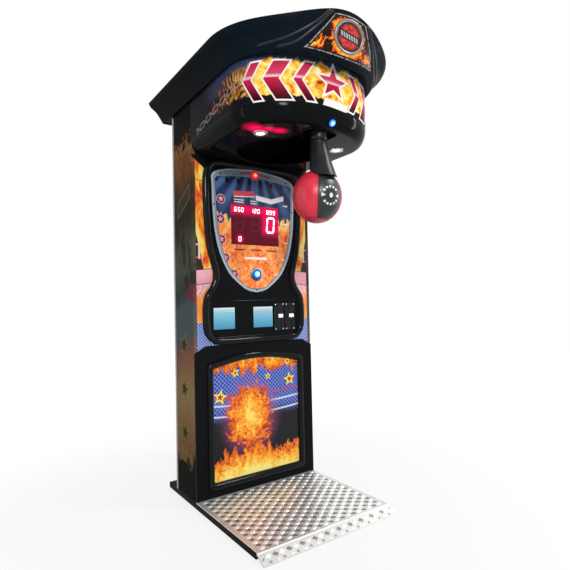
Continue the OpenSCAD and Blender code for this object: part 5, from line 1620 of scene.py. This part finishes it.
def segment_shapes(x, z, width, height, letters):
    """Outlines of the lit strokes of one seven-stroke digit, leaning a little to the right."""
    t = width * 0.20
    w, h = width / 2 - t / 2, height / 2 - t / 2
    gap = t * 0.12
    ends = {"a": ((-w, h), (w, h)), "g": ((-w, 0), (w, 0)), "d": ((-w, -h), (w, -h)),
            "f": ((-w, 0), (-w, h)), "b": ((w, 0), (w, h)), "e": ((-w, -h), (-w, 0)),
            "c": ((w, -h), (w, 0))}
    shapes = []
    for letter in letters:
        a, b = (Vector(end) for end in ends[letter])
        run = (b - a).normalized()
        side = Vector((-run.y, run.x)) * (t / 2 - gap)
        a, b = a + run * gap, b - run * gap
        tip = run * (t / 2 - gap)
        outline = (a, a + tip - side, b - tip - side, b, b - tip + side, a + tip + side)
        shapes.append([(x + p.x + p.y * 0.09, z + p.y) for p in outline])
    return shapes


class MACHINE_OT_digits(bpy.types.Operator):
    """Set the seven-stroke digits in the dark window, some lit and some dark"""

    bl_idname = "machine.digits"
    bl_label = "Display digits"

    def execute(self, context):
        lit, dark = [], []
        top = WINDOW_Z + WINDOW_H * 0.37
        for group, number in ((-1, "650"), (0, "120"), (1, "899")):
            for i, letter in enumerate(number):
                place = group * SCORE_STEP + (i - 1) * 0.0195
                lit += segment_shapes(place, top, 0.0145, 0.023, SEGMENTS[letter])
        for group, shapes, number in ((-1, dark, "8"), (0, dark, "8"), (1, lit, "0")):
            shapes += segment_shapes(group * 0.092, WINDOW_Z + 0.008, 0.052, 0.086, SEGMENTS[number])
        lit += segment_shapes(-0.092, WINDOW_Z - WINDOW_H * 0.36, 0.0155, 0.025, SEGMENTS["0"])
        bright = Finish("Lit digit", colour=(0.9, 0.25, 0.30), rough=0.3, glow_strength=look().digit_glow)
        bright.set(glow=bright.grain(300.0, 2.0).mix((1.0, 0.52, 0.58), (1.0, 0.68, 0.72)))
        unlit = Finish("Dark digit", rough=0.35, gloss=0.3)
        unlit.set(colour=unlit.grain(200.0).mix((0.07, 0.004, 0.010), (0.10, 0.006, 0.014)))
        for name, shapes, finish in (("lit_digits", lit, bright), ("dark_digits", dark, unlit)):
            points, faces = [], []
            for shape in shapes:
                count = len(shape)
                far = [len(points) + i for i in range(count)]
                near = [count + i for i in far]
                for y in (FACE_Y + 0.0008, FACE_Y + 0.0002):
                    points += [Vector((x, y, z)) for x, z in shape]
                faces += [tuple(reversed(far)), tuple(near)]
                faces += [(far[i - 1], far[i], near[i], near[i - 1]) for i in range(count)]
            finished(name, new_mesh(name, points, faces), finish.material, "display_print", "machine")
        return {"FINISHED"}


class MACHINE_OT_fasteners(bpy.types.Operator):
    """Fit cross-recessed screws to the coin plates and the display panel"""

    bl_idname = "machine.fasteners"
    bl_label = "Screws"

    def execute(self, context):
        bright = plain_metal("Screw steel", (0.66, 0.67, 0.68), 0.18)
        black = powder_coat("Screw black", (0.010, 0.010, 0.011), 0.28)
        coin = [(Vector((x + sx * COIN_SCREW_X, SHEET_Y - 0.002, COIN_Z + sz * COIN_SCREW_Z)),
                 turned(facing_front(x * 40 + sz))) for x in COIN_X for sx in (-1, 1) for sz in (-1, 1)]
        spread("coin_screws", self.head(0.004, 0.0025), coin, bright, "screw_steel", "machine",
               "coin_plate_screws")
        spots = ((-0.196, 1.594), (0.196, 1.594), (0.0, 1.020), (0.233, 1.440), (-0.233, 1.440))
        display = [(Vector((x, FACE_Y, z)), turned(facing_front(x * 30))) for x, z in spots]
        spread("panel_screws", self.head(0.0045, 0.002), display, black, "screw_black", "machine",
               "display_screws")
        return {"FINISHED"}

    def head(self, radius, height):
        """Domed screw head with a cross recess."""
        profile = [(0.0001, 0.0), (radius, 0.0), (radius, height * 0.25), (radius * 0.92, height * 0.55),
                   (radius * 0.70, height * 0.82), (radius * 0.35, height * 0.96), (0.0001, height)]
        dome = lathe("screw_head", profile, 24)
        long, thin = radius * 0.55, radius * 0.13
        bars = [[(-a, -b), (a, -b), (a, b), (-a, b)] for a, b in ((long, thin), (thin, long))]
        return with_holes(dome, [prism("recess", bar, height * 0.45, height * 1.5) for bar in bars])


# Platform


class MACHINE_OT_tread(bpy.types.Operator):
    """Raise the five-bar pattern on the tread plate and its folded lip"""

    bl_idname = "machine.tread"
    bl_label = "Tread bars"

    def execute(self, context):
        settings = look()
        px, py = settings.tread_pitch_x, settings.tread_pitch_y
        run = Vector((px / 4, py / 4)).normalized()
        bar_l = hypot(px / 4, py / 4) * 0.90
        spacing = bar_l / 4.7
        places = {1: [], -1: []}
        slope = atan2(DECK_TOP - 0.0005, DECK_Y - LIP_END_Y)
        for j in range(-1, 13):
            for i in range(-12, 13):
                for dx, dy, kind in ((0, 0, 1), (0.5, 0.5, 1), (0.5, 0, -1), (0, 0.5, -1)):
                    centre = Vector(((i + dx) * px, DECK_Y - 0.050 + (j + dy) * py))
                    for k in range(-2, 3):
                        along = Vector((run.x, -run.y * kind))
                        at = centre + along * (k * spacing)
                        self.add(places[kind], at, atan2(run.y * kind, run.x), bar_l / 2, slope)
        template = self.bar(bar_l * 1.04, spacing * 0.84, settings.bar_height)
        # Lit and shaded copies: bars of one direction stay bright aluminium, while the bars across them
        # are painted dark as shade, standing for the dark cabinet they mirror.
        bright = tread_metal("Tread bars bright", (0.84, 0.84, 0.83), (0.60, 0.59, 0.57), 0.22, 0.85)
        dull = tread_metal("Tread bars painted shade", (0.13, 0.13, 0.125), (0.055, 0.052, 0.050), 0.26, 0.85)
        for name, metal, kind in (("tread_bars", bright, -1), ("tread_bars_across", dull, 1)):
            spread(name, template, places[kind], metal, "tread_aluminium", "machine", crease=60.0)
        return {"FINISHED"}

    def add(self, places, at, turn, reach, slope):
        """Puts a bar on the flat plate or, unrolled over the fold, on the sloping lip."""
        margin = 0.006
        if at.y > DECK_Y + margin:
            if abs(at.x) < HALF_W - reach and at.y < SHEET_Y - 0.004 - reach * 0.7:
                places.append((Vector((at.x, at.y, DECK_TOP)), (0.0, 0.0, turn)))
            return
        down = DECK_Y - at.y
        length = hypot(DECK_TOP, DECK_Y - LIP_END_Y)
        if margin < down < length - margin - 0.002 and abs(at.x) < HALF_W - reach + 0.004:
            point = Vector((at.x, DECK_Y - down * cos(slope), DECK_TOP - down * sin(slope)))
            places.append((point, turned(Matrix.Rotation(slope, 3, "X") @ Matrix.Rotation(turn, 3, "Z"))))

    def bar(self, length, width, height):
        """Lens-shaped bar that is half sunk in the plate."""
        rings = []
        for i in range(1, 8):
            share = cos(pi * i / 8)
            thick = sqrt(1 - share * share)
            rings.append([Vector((share * length / 2, width / 2 * thick ** 0.4 * cos(a),
                                  height * thick ** 0.7 * sin(a))) for a in turns(8)])
        return loft("tread_bar", rings)


# Arm: sleeve and ball

SLEEVE_TOP = 0.040
SLEEVE_MID = 0.150
SLEEVE_R = 0.034
FOOT_R = 0.056
FOOT_DEEP = 0.061
FOOT_LEAN = 0.037
TUBE_R = 0.020


def sleeve_point(share, angle, wall=0.0, swell=0.0):
    """Point of the sleeve: share runs from -1 at its top over 0 at its seam to 1 at its foot."""
    q = max(share, 0.0)
    flare = q ** 1.2
    rx = SLEEVE_R + (FOOT_R - SLEEVE_R) * flare - wall + swell
    ry = SLEEVE_R + (FOOT_DEEP - SLEEVE_R) * flare - wall + swell
    foot = ARM_L - 0.0975 + 0.008 * cos(2 * angle) - 0.027 * sin(angle)
    end = SLEEVE_TOP if share < 0 else foot
    depth = SLEEVE_MID + (end - SLEEVE_MID) * abs(share)
    return Vector((rx * cos(angle), ry * sin(angle) - FOOT_LEAN * q ** 1.4, -depth))


def lay_stitch(places, before, after, inside):
    """Lays a stitch between two close points of a sewn surface, on the side away from inside."""
    run = (after - before).normalized()
    out = (before + after) / 2 - inside
    side = out.cross(run).normalized()
    out = run.cross(side)
    turn = Matrix((run, side, out)).transposed()
    places.append(((before + after) / 2 + out * 0.0001, turned(turn)))


def stitch_mesh(length, radius):
    rings = []
    for share, thick in ((-0.5, 0.25), (-0.38, 0.9), (0.0, 1.0), (0.38, 0.9), (0.5, 0.25)):
        rings.append([Vector((share * length, radius * thick * cos(a), radius * thick * sin(a)))
                      for a in turns(6)])
    return loft("stitch", rings)


class MACHINE_OT_sleeve(bpy.types.Operator):
    """Sew the black padded sleeve round the arm, flared towards the ball"""

    bl_idname = "machine.sleeve"
    bl_label = "Arm sleeve"

    def execute(self, context):
        angles = turns(120)
        shares = [-1 + i / 16 for i in range(16)] + [-0.045, -0.025, -0.008, 0.0, 0.008, 0.025, 0.045]
        shares += [0.045 + 0.955 * i / 34 for i in range(1, 35)]
        rings = []
        for share in (1.0, 0.8, 0.6, 0.4, 0.2, 0.0, -0.5, -0.92):
            rings.append([in_arm(sleeve_point(share, a, wall=0.003)) for a in angles])
        rings.append([in_arm(self.collar(a, 0.006)) for a in angles])
        rings.append([in_arm(self.collar(a, 0.0)) for a in angles])
        for share in shares:
            rings.append([in_arm(sleeve_point(share, a, swell=self.relief(share, a))) for a in angles])
        mesh = loft("sleeve", rings, wrap=True)
        finish = leather("Sleeve leather", (0.0055, 0.0075, 0.0085), 0.5, 520.0, 0.30)
        piece = finished("sleeve", mesh, finish, "sleeve_leather", "punch_arm", "arm_sleeve", crease=60.0)
        places = []
        for share, count in ((-0.055, 52), (0.055, 52), (0.900, 84)):
            depth = sleeve_point(share, 0.0).z
            inside = in_arm((0.0, -FOOT_LEAN * max(share, 0.0) ** 1.4, depth))
            for k in range(count):
                if share < 0.5 and sin(2 * pi * k / count) > 0.75:
                    # The rear buffer lies here when the arm is up, so the thread is left out.
                    continue
                ends = [in_arm(sleeve_point(share, a, swell=self.relief(share, a)))
                        for a in (2 * pi * (k - 0.3) / count, 2 * pi * (k + 0.3) / count)]
                lay_stitch(places, *ends, inside)
        thread = Finish("Sleeve thread", rough=0.7, gloss=0.1)
        thread.set(colour=thread.grain(1500.0, 2.0).mix((0.010, 0.011, 0.012), (0.05, 0.052, 0.055)))
        template = stitch_mesh(look().stitch_length * 0.75, 0.00042)
        spread("sleeve_stitches", template, places, thread.material, "sleeve_leather", "punch_arm",
               crease=60.0)
        return {"FINISHED"}

    def collar(self, angle, down):
        radius = TUBE_R + 0.0004
        return Vector((radius * cos(angle), radius * sin(angle), -SLEEVE_TOP - down))

    def relief(self, share, angle):
        """Seam at the middle, a rolled hem at the foot, and slight folds between them."""
        seam = -0.0018 * exp(-(share / 0.018) ** 2) + 0.0007 * exp(-((abs(share) - 0.06) / 0.03) ** 2)
        hem = 0.0012 * exp(-((share - 0.985) / 0.02) ** 2) - 0.0010 * exp(-((share - 0.935) / 0.015) ** 2)
        fade = max(0.0, 1 - abs(share - 0.35) * 1.6)
        fold = 0.0007 * sin(3 * angle + 5 * share) * sin(9 * share) * fade
        top = -0.0030 * exp(-((share + 1.0) / 0.05) ** 2)
        return seam + hem + fold + top


BALL_R = 0.106
BALL_H = 0.113
NECK_ANGLE = 65.0
CAP_ANGLE = -58.0

# Distance of a row of stitches from its seam, and the degrees from stitch to stitch
STITCH_OFF = 0.0048
STITCH_STEP = 3.6


def ball_point(angle, rise):
    """Point of the ball in the arm's frame; the angle is taken from the front, towards the right."""
    gores = look().ball_gores
    part = 2 * pi / gores
    from_seam = (angle + part / 2) % part
    from_seam = min(from_seam, part - from_seam)
    v = radians(rise)
    arc = from_seam * BALL_R * cos(v)
    swell = 1 - 0.022 * exp(-(arc / 0.020) ** 2)
    above_cap = rise > CAP_ANGLE
    valley = 0.0016 * exp(-(arc / 0.0014) ** 2) if above_cap else 0.0
    cap = 0.0019 * exp(-((rise - CAP_ANGLE) / 0.9) ** 2)
    cap -= 0.0010 * exp(-((rise - CAP_ANGLE + 3.2) / 2.0) ** 2)
    radius = BALL_R * cos(v) * (swell if above_cap else 0.986) - (valley + cap) * cos(v)
    height = BALL_H * sin(v) - cap * sin(v)
    return Vector((radius * sin(angle), -radius * cos(angle), height - ARM_L))


def ball_marks(finish, base):
    """Red and black gores, the red cap below, dark seam lines and a plain white aiming mark."""
    x, y, z = finish.xyz()
    dy, dz = y - PIVOT.y, z - PIVOT.z
    lean_y = dy * cos(ARM_LEAN) + dz * sin(ARM_LEAN)
    height = dz * cos(ARM_LEAN) - dy * sin(ARM_LEAN) + ARM_L
    angle = finish.math("ARCTAN2", x, lean_y * -1.0)
    rise = height / BALL_H
    gores = look().ball_gores
    part = 2 * pi / gores
    front = abs(angle).step(part / 2 + 0.002, part / 2 - 0.002)
    above = rise.step(sin(radians(CAP_ANGLE)) - 0.004, sin(radians(CAP_ANGLE)) + 0.004)
    grain = finish.grain(30.0, 5.0, 0.65)
    black = grain.mix(tuple(look().ball_black), (0.020, 0.027, 0.028))
    painted = (front * above).mix(base, black)
    cap_tone = grain.mix((0.42, 0.020, 0.040), (0.58, 0.050, 0.070))
    painted = above.mix(cap_tone, painted)
    from_middle = abs(finish.math("MODULO", angle + part / 2 + 4 * part, part) - part / 2)
    seam = from_middle.step(part / 2 - 0.016, part / 2 - 0.006)
    painted = over(seam * above * 0.85, (0.020, 0.002, 0.003), painted)
    cap_seam = abs(rise - sin(radians(CAP_ANGLE))).step(0.012, 0.004)
    painted = over(cap_seam * 0.7, (0.045, 0.003, 0.006), painted)
    mx, mz = x + 0.010, height + 0.006
    reach = distance(mx, mz)
    turn = finish.math("ARCTAN2", mx, mz)
    ring = reach.between(0.0310, 0.0400, 0.0006)
    dashes = (turn * (7.0 / pi) + 0.25).wave().step(0.36, 0.44)
    sides = (abs(mz) - abs(mx) * 0.55).step(-0.002, 0.0)
    dot = finish.math("SQRT", mx * mx * 1.5 + mz * mz).step(0.0105, 0.0095)
    beyond = abs(mz) - (abs(mx) - 0.024) * 0.50
    pointer = abs(mx).between(0.024, 0.040, 0.0005) * beyond.step(0.0005, -0.0005)
    mark = most(most(ring * dashes * sides, dot), pointer)
    worn = finish.grain(160.0, 4.0, 0.6).step(0.34, 0.42)
    return over(mark * front * worn, (0.82, 0.83, 0.82), painted)


class MACHINE_OT_ball(bpy.types.Operator):
    """Sew the stuffed leather ball of gores with its cap, seams and stitches"""

    bl_idname = "machine.ball"
    bl_label = "Punch ball"

    def execute(self, context):
        settings = look()
        rows = 120
        angles = turns(300)
        rings = []
        for j in range(rows + 1):
            rise = -88.5 + (NECK_ANGLE + 88.5) * j / rows
            rings.append([in_arm(ball_point(a, rise)) for a in angles])
        finish = leather("Ball leather", tuple(settings.ball_red), 0.30, 480.0, 0.32, ball_marks, 0.42)
        piece = finished("ball", loft("ball", rings), finish, "ball_leather", "punch_arm", "punch_ball",
                         crease=75.0)
        self.stitches(settings)
        return {"FINISHED"}

    def stitches(self, settings):
        part = 2 * pi / settings.ball_gores
        places = []
        for k in range(settings.ball_gores):
            seam = part / 2 + k * part
            for side in (-1, 1):
                rise = CAP_ANGLE + 5.0
                while rise < NECK_ANGLE - 22.0:
                    offset = side * STITCH_OFF / (BALL_R * cos(radians(rise)))
                    self.put(places, seam + offset, rise, 0.0, 1.2)
                    rise += STITCH_STEP
        for side in (-3.0, 3.0):
            for angle in turns(84):
                self.put(places, angle, CAP_ANGLE + side, 0.02, 0.0)
        thread = Finish("Dark thread", rough=0.7, gloss=0.2)
        thread.set(colour=thread.grain(1500.0, 2.0).mix((0.05, 0.004, 0.007), (0.16, 0.012, 0.020)))
        template = stitch_mesh(settings.stitch_length, 0.00042)
        spread("ball_stitches", template, places, thread.material, "ball_leather", "punch_arm",
               crease=60.0)

    def put(self, places, angle, rise, da, dr):
        ends = in_arm(ball_point(angle - da, rise - dr)), in_arm(ball_point(angle + da, rise + dr))
        lay_stitch(places, *ends, in_arm((0.0, 0.0, -ARM_L)))


OPERATORS = (
    MACHINE_OT_stage, MACHINE_OT_cad_finishes, MACHINE_OT_visor, MACHINE_OT_head_rim, MACHINE_OT_ridges,
    MACHINE_OT_digits, MACHINE_OT_fasteners, MACHINE_OT_tread, MACHINE_OT_sleeve, MACHINE_OT_ball,
)


class MACHINE_PT_panel(bpy.types.Panel):
    """Lists the sizes, colours and building steps of the machine"""

    bl_idname = "MACHINE_PT_panel"
    bl_label = "Punch machine"
    bl_space_type = "VIEW_3D"
    bl_region_type = "UI"
    bl_category = "Punch machine"

    def draw(self, context):
        settings = look()
        for name in LookSettings.__annotations__:
            self.layout.prop(settings, name)
        for operator in OPERATORS:
            self.layout.operator(operator.bl_idname)


def register():
    for kind in (LookSettings, *OPERATORS, MACHINE_PT_panel):
        bpy.utils.register_class(kind)
    bpy.types.Scene.machine_look = bpy.props.PointerProperty(type=LookSettings)


def unregister():
    del bpy.types.Scene.machine_look
    for kind in reversed((LookSettings, *OPERATORS, MACHINE_PT_panel)):
        bpy.utils.unregister_class(kind)


def main():
    register()
    bpy.ops.machine.stage()
    bpy.ops.machine.cad_finishes()
    bpy.ops.machine.visor()
    bpy.ops.machine.head_rim()
    bpy.ops.machine.ridges()
    bpy.ops.machine.digits()
    bpy.ops.machine.fasteners()
    bpy.ops.machine.tread()
    bpy.ops.machine.sleeve()
    bpy.ops.machine.ball()


if __name__ == "__main__":
    main()
